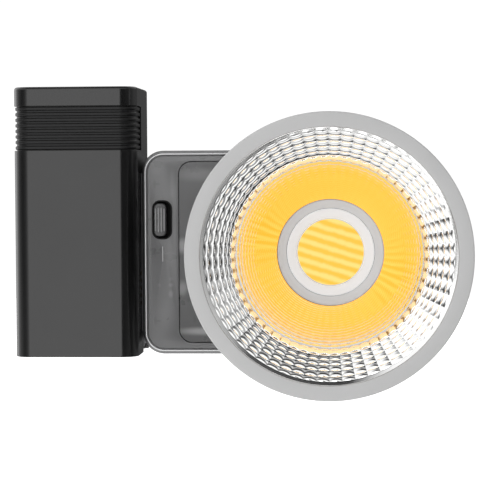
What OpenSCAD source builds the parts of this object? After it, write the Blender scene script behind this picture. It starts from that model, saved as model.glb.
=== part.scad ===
// Compact LED spotlight: flat lamp head, clip-on battery grip and faceted reflector.
// Frame: origin at the mouth of the tripod socket under the lamp head, +X towards the
// lamp end, +Y towards the back of the lamp, +Z up. Light leaves along -Y.

/* [Lamp head] */
// Width of the lamp head along X
head_w = 125; // [118:1:132]
// Depth of the lamp head along Y
head_d = 43; // [42:0.5:46]
// Height of the lamp head along Z
head_h = 88; // [86:1:92]
// Corner radius of the lamp head seen from the front
head_r = 9.4; // [8:0.2:11]
// Wall thickness of the rear housing
wall = 2.2; // [2:0.1:2.6]
// Distance of the light axis from the lamp head's right end
axis_inset = 43.5; // [42:0.5:46]
// Width of the bright trim around the front
trim_w = 0.8; // [0.6:0.1:1]

/* [Reflector] */
// Radius of the rim's outer edge
rim_r = 59.2; // [56:0.2:62]
// Radius of the bowl at its mouth
mouth_r = 52.6; // [50:0.2:54]
// Radius of the bowl at its base
base_r = 22.9; // [22.8:0.1:23.4]
// Wall thickness of the bowl
bowl_t = 1.4; // [1.2:0.1:1.6]
// How far the reflector turns to unlock, in degrees
twist = 45; // [42:1:50]

/* [Battery grip] */
// Width of the grip along X
grip_w = 53; // [52:0.5:56]
// Depth of the grip along Y
grip_d = 47; // [46.5:0.5:50]
// Height of the grip along Z
grip_h = 115.3; // [112:0.1:120]
// How far the grip's front stands ahead of the lamp head's front
grip_ahead = 15; // [13:0.5:16]
// Gap between the grip and the lamp head
grip_gap = 0.7; // [0.6:0.1:0.8]
// Number of ribs in the finger band
rib_count = 8; // [6:1:9]

/* [Tripod sockets] */
// Tap-drill radius of the quarter-inch sockets
thread_r = 2.55; // [2.5:0.05:2.6]
// Depth of the lamp head's tripod socket
thread_len = 8; // [7:0.5:9]

/* [Hidden] */
$fn = 72;

hw = head_w / 2;
hy = head_d / 2;
cx = hw - axis_inset;          // light axis
cz = head_h / 2;
gx1 = -hw - grip_gap;          // grip's right face
gx0 = gx1 - grip_w;
gy0 = -hy - grip_ahead;        // grip's front face
gy1 = gy0 + grip_d;
gxc = (gx0 + gx1) / 2;
band0 = 88.2;                  // finger band
band1 = 107.2;
sx = -hw + 8.7;                // centre of the unlock slot
sz = 58.1;
slx = sx - 0.9;               // slider at rest, against the slot's left end
rail_y = -4.5;
rail_screw_z = [12.6, 74.6];
knob_x = -38;
knob_z = [66, 22];
bush_x = gxc - 3;              // grip's socket, between the four cells
bush_y = -13;
cell_r = 9.25;
cell_x = [bush_x - 9.6, bush_x + 9.6];
cell_y = [bush_y - 9.6, bush_y + 9.6];
// bowl profile: radius and height above the light source plane
led_y = -22.6;
prof = [[base_r, 5.1], [27, 10.9], [32, 18.3], [36, 24.7], [39, 29.5], [41, 32.3],
    [44, 35.7], [48, 39.3], [mouth_r, 42.9]];

// ---------- helpers ----------
module rr(w, h, r) {
    union() {
        square([w, h - 2 * r], center = true);
        square([w - 2 * r, h], center = true);
        for (i = [-1, 1], j = [-1, 1]) translate([i * (w / 2 - r), j * (h / 2 - r)]) circle(r);
    }
}
// extrude a shape drawn in X and Z between two Y planes
module xz(y0, y1) { translate([0, y1, 0]) rotate([90, 0, 0]) linear_extrude(y1 - y0) children(); }
// extrude a shape drawn in Y and Z between two X planes
module yz(x0, x1) { translate([x0, 0, 0]) rotate([90, 0, 90]) linear_extrude(x1 - x0) children(); }
module xy(z0, z1) { translate([0, 0, z0]) linear_extrude(z1 - z0) children(); }
module cyl_y(x, z, r, y0, y1) { translate([x, y0, z]) rotate([-90, 0, 0]) cylinder(r = r, h = y1 - y0); }
module cyl_x(y, z, r, x0, x1) { translate([x0, y, z]) rotate([0, 90, 0]) cylinder(r = r, h = x1 - x0); }
module box(x0, x1, y0, y1, z0, z1) { translate([x0, y0, z0]) cube([x1 - x0, y1 - y0, z1 - z0]); }
// turn a profile of [radius, distance in front of a plane] about the light axis
module turned(y = 0) { translate([cx, y, cz]) rotate([90, 0, 0]) rotate_extrude() children(); }
// wedge of a ring about the light axis, angles from +X towards +Z
module arc(r0, r1, y0, y1, a0, a1) {
    translate([cx, y1, cz]) rotate([90, 0, 0]) rotate([0, 0, a0])
        rotate_extrude(angle = a1 - a0) translate([r0, 0]) square([r1 - r0, y1 - y0]);
}
// place something at angle a about the light axis, from +X towards +Z
module on_axis(a) { translate([cx, 0, cz]) rotate([0, -a, 0]) children(); }
function unit(v) = v / norm(v);
function ring(p, t, r, n) = let (u = unit(cross(t, abs(t[2]) > 0.9 ? [0, 1, 0] : [0, 0, 1])), w = cross(t, u))
    [for (k = [0:n - 1]) p + r * (cos(360 * k / n) * u + sin(360 * k / n) * w)];
module tube(p, r, n = 8) {
    m = len(p);
    pts = [for (i = [0:m - 1]) let (t = unit(p[min(i + 1, m - 1)] - p[max(i - 1, 0)])) each ring(p[i], t, r, n)];
    polyhedron(points = pts, faces = concat(
        [[for (k = [n - 1:-1:0]) k]],
        [for (i = [0:m - 2], k = [0:n - 1]) [i * n + k, i * n + (k + 1) % n, (i + 1) * n + (k + 1) % n, (i + 1) * n + k]],
        [[for (k = [0:n - 1]) (m - 1) * n + k]]));
}
// outline of the grip seen from above, shrunk by inset
module grip2d(i = 0) {
    a = 7 - i;
    b = 4 - i;
    union() {
        translate([gx0 + i, gy0 + i + a]) square([grip_w - 2 * i, grip_d - 2 * i - a - b]);
        translate([gx0 + i + a, gy0 + i]) square([grip_w - 2 * i - 2 * a, a + 1]);
        translate([gx0 + i + b, gy1 - i - b - 1]) square([grip_w - 2 * i - 2 * b, b + 1]);
        for (x = [gx0 + i + a, gx1 - i - a]) translate([x, gy0 + i + a]) circle(a);
        for (x = [gx0 + i + b, gx1 - i - b]) translate([x, gy1 - i - b]) circle(b);
    }
}
module screw_y(x, z, r, rh, y0, y1, hh) {
    union() { cyl_y(x, z, r, y0, y1 - hh + 0.01); cyl_y(x, z, rh, y1 - hh, y1); }
}

// ---------- lamp head: shells ----------
corner = [for (i = [-1, 1], j = [-1, 1]) [i * (hw - 9), cz + j * (cz - 7)]];
module rear_housing() color([0.20, 0.20, 0.21]) {
    difference() {
        union() {
            difference() {
                xz(-hy + 0.2, hy) translate([0, cz]) rr(head_w, head_h, head_r);
                xz(-hy, hy - wall) translate([0, cz]) rr(head_w - 2 * wall, head_h - 2 * wall, head_r - wall);
                // rebate for the bright trim
                xz(-hy - 1, -hy + 0.6) translate([0, cz]) rr(head_w - 2.2, head_h - 2.2, head_r - 1.1);
            }
            // rib that closes the gap to the grip at the front
            box(-hw - 0.5, -hw + 1, -hy + 0.9, -hy + 1.9, 9.8, 78.2);
            for (c = corner) cyl_y(c[0], c[1], 3.6, -19.4, hy - wall + 0.5);
            translate([0, 0, wall - 0.5]) cylinder(r = 8, h = 8.3);
            box(-hw + wall - 0.5, -hw + wall + 1.4, -17.4, -14.8, 39.6, 45);
        }
        for (c = corner) { cyl_y(c[0], c[1], 1.6, -14, hy); cyl_y(c[0], c[1], 2.9, hy - 3, hy + 1); }
        translate([0, 0, -1]) cylinder(r = 5, h = 12);
        // window for the slide rail, the latch tooth and the contact pins
        yz(-hw - 1, -hw + wall + 0.01) translate([rail_y, 43.5]) rr(15.2, 56.2, 2);
        box(-hw - 1, -hw + wall + 0.2, -17.9, -14.5, 54.6, 62);
        for (i = [0:4]) cyl_x(-16.5, 22 + 3.2 * i, 0.95, -hw - 1, -hw + wall + 1);
        for (y = [rail_y - 6, rail_y + 6], z = rail_screw_z) cyl_x(y, z, 1.3, -hw + 0.5, -hw + wall + 1);
        // sockets in the underside
        translate([-30, 6, -1]) cylinder(r = 3.95, h = 6);
        xy(-1, 5) translate([-44, 6]) rr(9.5, 3.7, 1.8);
        // outlet slots above and below the heatsink
        for (k = [0:10]) xy(head_h - 4, head_h + 1) translate([cx - 21 + 4.2 * k, -6]) rr(2.2, 15, 1.05);
        for (k = [3:10]) xy(-1, 4) translate([cx - 21 + 4.2 * k, -6]) rr(2.2, 15, 1.05);
        // side outlet slots
        for (k = [0:5]) yz(hw - 4, hw + 1) translate([-6, 18 + 4.2 * k]) rr(15, 2.2, 1.05);
        // power switch slot
        yz(hw - 4, hw + 1) translate([10, 64]) rr(4.2, 10.4, 1.2);
        // fan intake, display and knobs
        cyl_y(cx, cz, 28.6, hy - wall - 1, hy + 1);
        xz(hy - wall - 1, hy + 1) translate([knob_x, cz]) rr(27.4, 15.4, 1.8);
        for (z = knob_z) cyl_y(knob_x, z, 3.3, hy - wall - 1, hy + 1);
    }
}
module trim_bezel() color([0.78, 0.78, 0.79]) xz(-hy - 0.1, -hy + 0.6) difference() {
    translate([0, cz]) rr(head_w - 2.2, head_h - 2.2, head_r - 1.1);
    translate([0, cz]) rr(head_w - 2.2 - 2 * trim_w, head_h - 2.2 - 2 * trim_w, head_r - 1.1 - trim_w);
}
pan_w = head_w - 21;
pan_h = head_h - 9.8;
pan_x = 5.5;
pan_z = cz + 0.1;
module front_cover() color([0.42, 0.42, 0.43, 0.75]) {
    difference() {
        xz(-hy + 0.1, -hy + 1.9) translate([0, cz]) rr(head_w - 2 * wall - 0.2, head_h - 2 * wall - 0.2, head_r - wall - 0.1);
        xz(-hy - 1, -hy + 3) translate([pan_x, pan_z]) rr(pan_w + 0.6, pan_h + 0.6, 5.9);
        xz(-hy - 1, -hy + 3) translate([sx, sz]) rr(8.6, 16.8, 3.5);
        // engraved pointer line beside the slider
        box(sx + 0.3, sx + 0.7, -hy - 1, -hy + 0.4, 40, 46.6);
    }
    // snap hooks behind the cover
    for (z = [14, 43, 74]) box(-hw + 4.6, -hw + 7.2, -hy + 1.85, -hy + 4.6, z - 1.6, z + 1.6);
}
module mount_panel() color([0.36, 0.36, 0.37, 0.8]) {
    difference() {
        xz(-hy + 0.3, -hy + 1.9) translate([pan_x, pan_z]) rr(pan_w, pan_h, 5.6);
        cyl_y(cx, cz, 27.3, -hy - 1, -hy + 3);
    }
    // rib that the slider's spring pushes on
    box(-42, -40.6, -hy + 1.85, -13.6, 54, 62);
}
module slider_surround() color([0.03, 0.03, 0.03]) difference() {
    union() {
        xz(-hy - 0.15, -hy + 1.95) translate([sx, sz]) rr(8.4, 16.6, 3.4);
        xz(-hy + 1.9, -hy + 2.5) translate([sx, sz]) rr(10.4, 18.6, 4.4);
    }
    xz(-hy - 1, -hy + 3) translate([sx, sz]) rr(7.5, 15.8, 2.95);
}

// ---------- light engine ----------
lug = 20; // half-angle of a bayonet lug
module mount_ring() color([0.66, 0.66, 0.67]) union() {
    turned() translate([22.8, 19.4]) square([4.2, 6.8]);
    for (a = [90, 210, 330]) {
        arc(26.5, 29.5, -26.2, -23.9, a - lug, a + lug);
        arc(26.6, 29.2, -26, -21.6, a - lug - 4, a - lug + 1);
    }
}
module cob_retainer() color([0.76, 0.77, 0.78]) turned()
    polygon([[19.0, 22.1], [19.0, 24.3], [20.2, 24.9], [22.2, 26.2], [22.7, 26.2], [22.7, 19.5], [21.6, 19.5], [21.6, 22.1]]);
module cob_holder() color([0.93, 0.93, 0.92]) turned()
    polygon([[14.6, 22.1], [14.6, 22.9], [15.3, 23.3], [18.4, 24.0], [18.9, 23.9], [18.9, 22.1]]);
module cob_substrate() color([0.75, 0.76, 0.77]) translate([cx, -21, cz]) rotate([0, 16, 0]) rotate([90, 0, 0]) linear_extrude(1) rr(29.6, 29.6, 1);
module cob_phosphor() color([0.98, 0.80, 0.30]) cyl_y(cx, cz, 14.2, led_y, -22);
module heat_spreader() color([0.72, 0.45, 0.28]) union() {
    xz(-19.4, -16.9) translate([cx, cz]) rr(62, 62, 3);
    cyl_y(cx, cz, 21.4, -21, -19.3);
}
module heatsink() color([0.55, 0.56, 0.57]) union() {
    box(cx - 30, cx + 30, -16.9, -15, cz - 30, cz + 30);
    for (k = [0:20]) box(cx - 30 + 2.97 * k, cx - 29.4 + 2.97 * k, -15.1, 0.2, cz - 30, cz + 30);
}
module fan_frame() color([0.08, 0.08, 0.085]) difference() {
    union() {
        difference() {
            xz(1, 13) translate([cx, cz]) rr(60, 60, 4);
            cyl_y(cx, cz, 28.3, 0, 14);
        }
        cyl_y(cx, cz, 9.5, 11.6, 13);
        for (a = [45, 135, 225, 315]) translate([cx, 0, cz]) rotate([0, a, 0]) box(9, 29, 11.8, 13, -1.4, 1.4);
    }
    for (i = [-1, 1], j = [-1, 1]) cyl_y(cx + 25.5 * i, cz + 25.5 * j, 2, 0, 14);
    cyl_y(cx, cz, 3, 11, 14);
}
module fan_bearing() color([0.72, 0.55, 0.25]) difference() { cyl_y(cx, cz, 2.95, 5.2, 13); cyl_y(cx, cz, 1.04, 5, 12.2); }
module fan_stator() color([0.70, 0.38, 0.20]) difference() { cyl_y(cx, cz, 7.8, 4.6, 10.4); cyl_y(cx, cz, 3.0, 4, 11); }
module fan_shaft() color([0.8, 0.8, 0.8]) cyl_y(cx, cz, 1.0, 2.8, 11.8);
module fan_rotor() color([0.10, 0.10, 0.105]) union() {
    difference() { cyl_y(cx, cz, 9.6, 1.6, 11); cyl_y(cx, cz, 8.5, 2.8, 12); }
    difference() { cyl_y(cx, cz, 2.2, 2.6, 4.2); cyl_y(cx, cz, 1.02, 2.8, 5); }
    for (k = [0:8]) translate([cx, 6.3, cz]) rotate([0, 40 * k, 0]) rotate([38, 0, 0])
        box(9.2, 27.2, -0.5, 0.5, -5.6, 5.6);
}

// ---------- electronics ----------
module driver_board() color([0.05, 0.18, 0.12]) box(-56.5, -14.5, -2, -0.4, 13, 76);
module driver_components() color([0.16, 0.16, 0.17]) {
    box(-44, -30, -9.5, -2, 56, 70);
    box(-27, -17, -7.5, -2, 59, 69);
    box(-52, -46, -5, -2, 28, 37);
    box(-43, -34, -3.6, -2, 36, 45);
    box(-29, -23, -3.4, -2, 40, 46);
    box(-29, -17, -6.5, -2, 17, 23);
    for (z = [20, 31]) cyl_y(-38, z, 4.6, -11.5, -2);
    cyl_y(-22, 31, 4, -10.5, -2);
    for (k = [0:4]) box(-54, -52, -3.2, -2, 46 + 4 * k, 48.4 + 4 * k);
}
module control_board() color([0.05, 0.18, 0.12]) {
    box(-57, -19, 12.4, 14, 13, 75);
    box(-48.9, -38, 0.5, 12, 8.7, 10.2);
}
module display_module() color([0.10, 0.12, 0.14]) box(knob_x - 12.5, knob_x + 12.5, 14, 18.6, cz - 6.5, cz + 6.5);
module display_window() color([0.03, 0.03, 0.04]) xz(hy - wall - 0.4, hy - 0.1) translate([knob_x, cz]) rr(27.2, 15.2, 1.7);
module encoders() color([0.5, 0.5, 0.52]) for (z = knob_z) difference() {
    union() { box(knob_x - 6, knob_x + 6, 14, 18.9, z - 6, z + 6); cyl_y(knob_x, z, 3.1, 18.8, hy + 0.6); }
    cyl_y(knob_x, z, 1.55, 15, hy + 1);
}
module knob(z) union() {
    difference() {
        cyl_y(knob_x, z, 8, hy + 0.9, hy + 7.6);
        for (k = [0:23]) translate([knob_x, 0, z]) rotate([0, 15 * k, 0]) cyl_y(8.35, 0, 0.75, hy + 2, hy + 9);
    }
    cyl_y(knob_x, z, 1.5, 15.4, hy + 1);
}
module brightness_knob() color([0.12, 0.12, 0.125]) knob(knob_z[0]);
module cct_knob() color([0.12, 0.12, 0.125]) knob(knob_z[1]);
module back_grille() color([0.10, 0.10, 0.105]) difference() {
    cyl_y(cx, cz, 28.4, hy - wall, hy);
    for (k = [-6:6]) let (h = sqrt(26.4 * 26.4 - 16 * k * k) - 0.8)
        xz(hy - wall - 1, hy + 1) translate([cx + 4 * k, cz]) rr(2.3, 2 * h, 1.1);
}
module dc_jack() color([0.07, 0.07, 0.07]) union() {
    difference() {
        union() { box(-34.6, -25.4, 1.4, 10.6, wall, 14); translate([-30, 6, 0.1]) cylinder(r = 3.85, h = 4); }
        translate([-30, 6, 0]) cylinder(r = 2.85, h = 11);
    }
    translate([-30, 6, 1.2]) cylinder(r = 1.0, h = 11);
}
module usb_c(l) union() {
    difference() { linear_extrude(l) rr(9, 3.25, 1.6); translate([0, 0, -0.01]) linear_extrude(l - 1.2) rr(8.4, 2.65, 1.3); }
    translate([0, 0, 0.8]) linear_extrude(l - 1.6) square([6.7, 0.7], center = true);
}
module usb_c_port() color([0.72, 0.72, 0.73]) translate([-44, 6, 0.2]) usb_c(8.4);
module power_switch_body() color([0.06, 0.06, 0.06]) box(hw - 10, hw - 4.4, 6, 14, 56, 72);
module power_switch_knob() color([0.55, 0.12, 0.10]) union() {
    yz(hw - 4.2, hw + 0.9) translate([10, 61.8]) rr(3.6, 5.2, 0.9);
    for (k = [-1:1]) box(hw + 0.85, hw + 1.2, 8.4, 11.6, 61.5 + 1.4 * k, 62.1 + 1.4 * k);
}
module tripod_bush() color([0.78, 0.62, 0.30]) difference() {
    cylinder(r = 5, h = thread_len + 1.5);
    translate([0, 0, -1]) cylinder(r = thread_r, h = thread_len + 1);
}
module housing_screws() color([0.35, 0.35, 0.36]) {
    for (c = corner) screw_y(c[0], c[1], 1.45, 2.7, -8, hy - 0.8, 2.1);
    for (y = [rail_y - 6, rail_y + 6], z = rail_screw_z) union() {
        cyl_x(y, z, 1.15, -hw + 0.7, -hw + wall + 2);
        cyl_x(y, z, 2.0, -hw + wall + 1.5, -hw + wall + 2.7);
    }
}
module led_leads() color([0.7, 0.08, 0.06]) {
    tube([[-13.4, -4, 50], [-13.3, -6.5, 50.4], [-13.2, -9.5, 51.2], [-13.4, -12.5, 52.4], [-13.6, -15.2, 53.8],
        [-14.2, -17.4, 55.6], [-15.2, -18.3, 58], [-16, -18.2, 61]], 0.75);
    tube([[-13.4, -4, 38], [-13.3, -6.5, 37.6], [-13.2, -9.5, 36.8], [-13.4, -12.5, 35.6], [-13.6, -15.2, 34.2],
        [-14.2, -17.4, 32.4], [-15.2, -18.3, 30], [-16, -18.2, 27]], 0.75);
}

// ---------- coupling to the grip ----------
module rail_plate() color([0.62, 0.63, 0.64]) difference() {
    union() {
        yz(-hw, -hw + wall + 0.1) translate([rail_y, 43.5]) rr(15, 56, 1.9);
        yz(-hw + wall, -hw + wall + 1.5) translate([rail_y, cz]) rr(18, head_h - 19.2, 2);
        box(-hw - 2.9, -hw + 0.1, rail_y - 4, rail_y + 4, 16, 70);
        box(-hw - 4.8, -hw - 2.8, rail_y - 7, rail_y + 7, 16, 70);
    }
    for (y = [rail_y - 6, rail_y + 6], z = rail_screw_z) cyl_x(y, z, 1.3, -hw, -hw + wall + 3);
}
module contact_block() color([0.85, 0.85, 0.82]) difference() {
    box(-hw + wall, -hw + 10, -18.8, -14.3, 19.4, 37.6);
    for (i = [0:4]) cyl_x(-16.5, 22 + 3.2 * i, 0.8, -hw, -hw + 6);
    for (i = [0:4]) box(-hw + 6.6, -hw + 8.6, -19.5, -17.6, 21.2 + 3.2 * i, 22.8 + 3.2 * i);
}
module contact_pins() color([0.85, 0.68, 0.30]) for (i = [0:4]) {
    cyl_x(-16.5, 22 + 3.2 * i, 0.75, -hw - 0.45, -hw + 5.9);
    box(-hw + 6.7, -hw + 8.5, -18.7, -17.7, 21.3 + 3.2 * i, 22.7 + 3.2 * i);
}
module latch_leaf() color([0.75, 0.76, 0.78]) union() {
    box(-hw + 3.6, -hw + 4.1, -17.4, -14.8, 40, 66);
    translate([0, -14.8, 0]) rotate([90, 0, 0]) linear_extrude(2.6)
        polygon([[-hw + 3.7, 56.1], [-hw - 1.5, 56.1], [-hw - 1.5, 57.4], [-hw + 0.6, 60.4], [-hw + 3.7, 60.4]]);
}
module slider_spring() color([0.80, 0.80, 0.82])
    tube([for (i = [0:60]) [-48.4 + 6.1 * i / 60, -15.9 + 1.5 * cos(36 * i), 58 + 1.5 * sin(36 * i)]], 0.24, 6);
module unlock_slider() color([0.40, 0.40, 0.41]) union() {
    xz(-hy - 0.25, -18.6) translate([slx, sz]) rr(5.4, 14.2, 2.1);
    for (k = [-1.5:1.5]) intersection() {
        translate([slx + 1.25 * k, -hy - 0.2, sz - 6.3]) cylinder(r = 0.45, h = 12.6);
        box(sx - 5, sx + 5, -hy - 1, -hy, sz - 8, sz + 8);
    }
    box(-hw + 2.5, -48.6, -18.8, -17.6, 49.2, 67);
    box(-49.7, -48.6, -17.7, -14.2, 55.4, 60.6);
    box(-hw + 2.5, -hw + 3.4, -17.7, -14.9, 61.9, 64.9);
}

// ---------- reflector ----------
function fwd(h) = -led_y + h; // distance in front of the head's mid-plane
module reflector_bowl() color([0.90, 0.90, 0.91]) turned()
    polygon(concat([for (p = prof) [p[0], fwd(p[1])]],
        [for (i = [len(prof) - 1:-1:0]) [prof[i][0] + bowl_t, fwd(prof[i][1]) - 0.3]]));
module reflector_rim() color([0.75, 0.75, 0.75]) turned()
    polygon([[mouth_r + 0.05, fwd(42.95)], [mouth_r + 0.5, fwd(43.3)], [rim_r - 0.7, fwd(43.3)], [rim_r, fwd(42.6)],
        [rim_r, fwd(40.2)], [rim_r - 1.4, fwd(40.2)], [rim_r - 1.4, fwd(41.4)], [mouth_r + bowl_t + 0.2, fwd(41.4)], [mouth_r + bowl_t + 0.2, fwd(42.95)]]);
module reflector_shell() color([0.16, 0.16, 0.165]) difference() {
    turned() polygon(concat([for (p = prof) [p[0] + bowl_t + 0.15, fwd(p[1]) - (p[1] > 42 ? 1.75 : 0.3)]],
        [[rim_r - 1.5, fwd(41.25)], [rim_r - 1.5, fwd(38.6)]],
        [for (i = [len(prof) - 2:-1:1]) [prof[i][0] + bowl_t + 2.6, fwd(prof[i][1]) - 1.6]],
        [[33, fwd(11.5)], [33, fwd(4.8)]]));
    for (a = [30, 150, 270]) on_axis(a) cyl_y(31.4, 0, 0.82, -32, -27);
}
module reflector_collar() color([0.60, 0.60, 0.61]) difference() {
    union() {
        turned() polygon([[29.8, 21.9], [33, 21.9], [33, 27.4], [base_r + 0.2, 27.4], [base_r + 0.2, 26.5], [29.8, 26.5]]);
        for (a = [90, 210, 330]) arc(27.4, 30.2, -23.6, -22.1, a - 18, a + 18);
    }
    for (a = [30, 150, 270]) on_axis(a) { cyl_y(31.4, 0, 0.95, -28, -21); cyl_y(31.4, 0, 1.45, -23.3, -21); }
}
module reflector_screws() color([0.35, 0.35, 0.36]) for (a = [30, 150, 270])
    on_axis(a) union() { cyl_y(31.4, 0, 0.8, -31.6, -23.2); cyl_y(31.4, 0, 1.35, -23.3, -22.1); }

// ---------- battery grip ----------
foot = [[gx0 + 4.4, gy0 + 4.8], [gx0 + 4.4, gy1 - 5.2], [gx1 - 4.8, gy0 + 4.8], [gx1 - 10.3, gy1 - 5.2]];
module grip_shell() color([0.19, 0.19, 0.195]) difference() {
    union() {
        difference() {
            xy(0, grip_h) grip2d();
            xy(-1, 2.5) grip2d(1.1);
            xy(1, grip_h - 2.4) grip2d(2.4);
        }
        for (f = foot) translate([f[0], f[1], 4.5]) cylinder(r = 2.2, h = 6);
        box(gx1 - 9, gx1 - 2, gy1 - 6, gy1 - 4.6, 4.5, 10.5);
    }
    for (f = foot) translate([f[0], f[1], 3]) cylinder(r = 1.12, h = 6.8);
    // recess for the finger band round the front and both sides
    difference() {
        xy(band0, band1) translate([gx0 - 5, gy0 - 5]) square([grip_w + 10, 25.5]);
        xy(band0 - 1, band1 + 1) grip2d(1.6);
    }
    // opening for the back cover
    xz(gy1 - 4, gy1 + 1) translate([gxc, 58]) rr(41.2, 104.2, 3.1);
    // opening for the slide channel, latch pocket, contact window
    box(gx1 - 7.2, gx1 + 1, rail_y - 8.8, rail_y + 8.8, -1, 72.7);
    box(gx1 - 2, gx1 + 1, -17.9, -14.4, 55.8, 61);
    box(gx1 - 3, gx1 + 1, -18.4, -14.6, 19.8, 37);
}
module grip_ribbed_insert() color([0.11, 0.11, 0.115]) difference() {
    union() {
        xy(band0 + 0.1, band1 - 0.1) intersection() { grip2d(0.85); translate([gx0 - 1, gy0 - 1]) square([grip_w + 2, 21.3]); }
        for (k = [0:rib_count - 1]) let (p = (band1 - band0) / rib_count, z = band0 + p * (k + 0.5))
            xy(z - 0.55, z + 0.55) intersection() { grip2d(0.4); translate([gx0 - 1, gy0 - 1]) square([grip_w + 2, 21.3]); }
    }
    xy(band0 - 1, band1 + 1) grip2d(1.55);
}
module grip_back_cover() color([0.17, 0.17, 0.175]) difference() {
    xz(gy1 - 2.4, gy1) translate([gxc, 58]) rr(41, 104, 3);
    xz(gy1 - 4, gy1 + 1) translate([-78, 97]) rr(9.6, 3.8, 1.85);
    cyl_y(-101, 97, 3.1, gy1 - 4, gy1 + 1);
    for (k = [0:3]) xz(gy1 - 4, gy1 + 1) translate([-95 + 2.8 * k, 97]) square([1.4, 3.2], center = true);
    for (x = [gxc - 17, gxc + 17]) { cyl_y(x, 106, 1.3, gy1 - 4, gy1 + 1); cyl_y(x, 106, 2.4, gy1 - 1.3, gy1 + 1); }
}
module grip_bottom_cap() color([0.15, 0.15, 0.155]) difference() {
    union() {
        xy(0, 2.5) grip2d(1.2);
        xy(2.4, 4.3) intersection() { grip2d(2.5); translate([gx0, gy0]) square([grip_w - 7.6, grip_d]); }
    }
    box(gx1 - 4.6, gx1 + 1, rail_y - 7.3, rail_y + 7.3, -1, 5);
    translate([bush_x, bush_y, -1]) cylinder(r = 4.2, h = 7);
    for (f = foot) translate([f[0], f[1], -1]) { cylinder(r = 1.25, h = 7); cylinder(r = 2.3, h = 2.4); }
}
module grip_channel() color([0.58, 0.59, 0.60]) difference() {
    box(gx1 - 7, gx1, rail_y - 8.7, rail_y + 8.7, 2.6, 72.6);
    box(gx1 - 1.95, gx1 + 1, rail_y - 4.3, rail_y + 4.3, 0, 70.3);
    box(gx1 - 4.4, gx1 - 1.9, rail_y - 7.3, rail_y + 7.3, 0, 70.3);
}
module battery_cells() color([0.10, 0.35, 0.55]) for (x = cell_x, y = cell_y) translate([x, y, 8]) union() {
    cylinder(r = cell_r, h = 64.4);
    cylinder(r = 2.8, h = 65.2);
}
module cradle(z0, z1, h0, h1) difference() {
    xy(z0, z1) translate([bush_x, bush_y]) rr(39, 39, 9.9);
    for (x = cell_x, y = cell_y) { translate([x, y, h0]) cylinder(r = cell_r + 0.12, h = h1 - h0); translate([x, y, z0 - 1]) cylinder(r = 7, h = 12); }
    translate([bush_x, bush_y, z0 - 1]) cylinder(r = 4.45, h = 12);
}
module cell_cradles() color([0.08, 0.08, 0.085]) { cradle(4.5, 11, 7.9, 12); cradle(69.6, 76, 68, 73.4); }
module bms_boards() color([0.05, 0.18, 0.12]) {
    box(gx0 + 4.7, gx1 - 5, -32, 3.4, 82, 83.6);
    box(-108, -70, 3.6, 5.2, 84, 103);
}
module bms_components() color([0.16, 0.16, 0.17]) {
    box(-106, -96, -26, -16, 83.6, 90);
    box(-92, -84, -26, -18, 83.6, 86);
    box(-80, -72, -24, -16, 83.6, 88);
    for (x = [-104, -96, -88]) translate([x, -8, 83.6]) cylinder(r = 3.1, h = 8);
    box(-103.2, -98.8, 5.2, 6.6, 94.8, 99.2);
}
module grip_usb_c_port() color([0.72, 0.72, 0.73]) translate([-78, gy1 - 0.2, 97]) rotate([90, 0, 0]) usb_c(4.9);
module charge_button() color([0.35, 0.35, 0.36]) union() {
    cyl_y(-101, 97, 2.95, gy1 - 2.6, gy1 + 0.7);
    cyl_y(-101, 97, 3.6, gy1 - 3.1, gy1 - 2.5);
}
module level_light_pipes() color([0.9, 0.95, 0.9, 0.6]) for (k = [0:3])
    xz(5.3, gy1 - 0.05) translate([-95 + 2.8 * k, 97]) square([1.3, 3.1], center = true);
module grip_contact_pads() color([0.85, 0.68, 0.30]) for (i = [0:4])
    box(gx1 - 2.4, gx1 + 0.15, -18.1, -14.9, 20.9 + 3.2 * i, 23.1 + 3.2 * i);
module grip_tripod_bush() color([0.78, 0.62, 0.30]) translate([bush_x, bush_y, 0]) difference() {
    cylinder(r = 4.2, h = 8.6);
    translate([0, 0, -1]) cylinder(r = thread_r, h = 8);
}
module grip_screws() color([0.35, 0.35, 0.36]) {
    for (f = foot) translate([f[0], f[1], 0]) { union() { translate([0, 0, 0.5]) cylinder(r = 2.1, h = 0.85); translate([0, 0, 1]) cylinder(r = 1.1, h = 8); } }
    for (x = [gxc - 17, gxc + 17]) screw_y(x, 106, 1.2, 2.2, gy1 - 5.5, gy1 - 0.3, 0.95);
}

rear_housing();
front_cover();
trim_bezel();
mount_panel();
slider_surround();
mount_ring();
cob_retainer();
cob_holder();
cob_substrate();
cob_phosphor();
heat_spreader();
heatsink();
fan_frame();
fan_stator();
fan_bearing();
driver_board();
driver_components();
control_board();
display_module();
display_window();
encoders();
back_grille();
dc_jack();
usb_c_port();
power_switch_body();
tripod_bush();
housing_screws();
rail_plate();
contact_block();
contact_pins();
latch_leaf();
led_leads();
slider_spring();
unlock_slider();
brightness_knob();
cct_knob();
power_switch_knob();
fan_rotor();
fan_shaft();
reflector_bowl();
reflector_rim();
reflector_shell();
reflector_collar();
reflector_screws();
grip_shell();
grip_ribbed_insert();
grip_back_cover();
grip_bottom_cap();
grip_channel();
battery_cells();
cell_cradles();
bms_boards();
bms_components();
grip_usb_c_port();
charge_button();
level_light_pipes();
grip_contact_pads();
grip_tripod_bush();
grip_screws();
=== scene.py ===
import bpy, bmesh, math
from mathutils import Vector, Matrix


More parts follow.
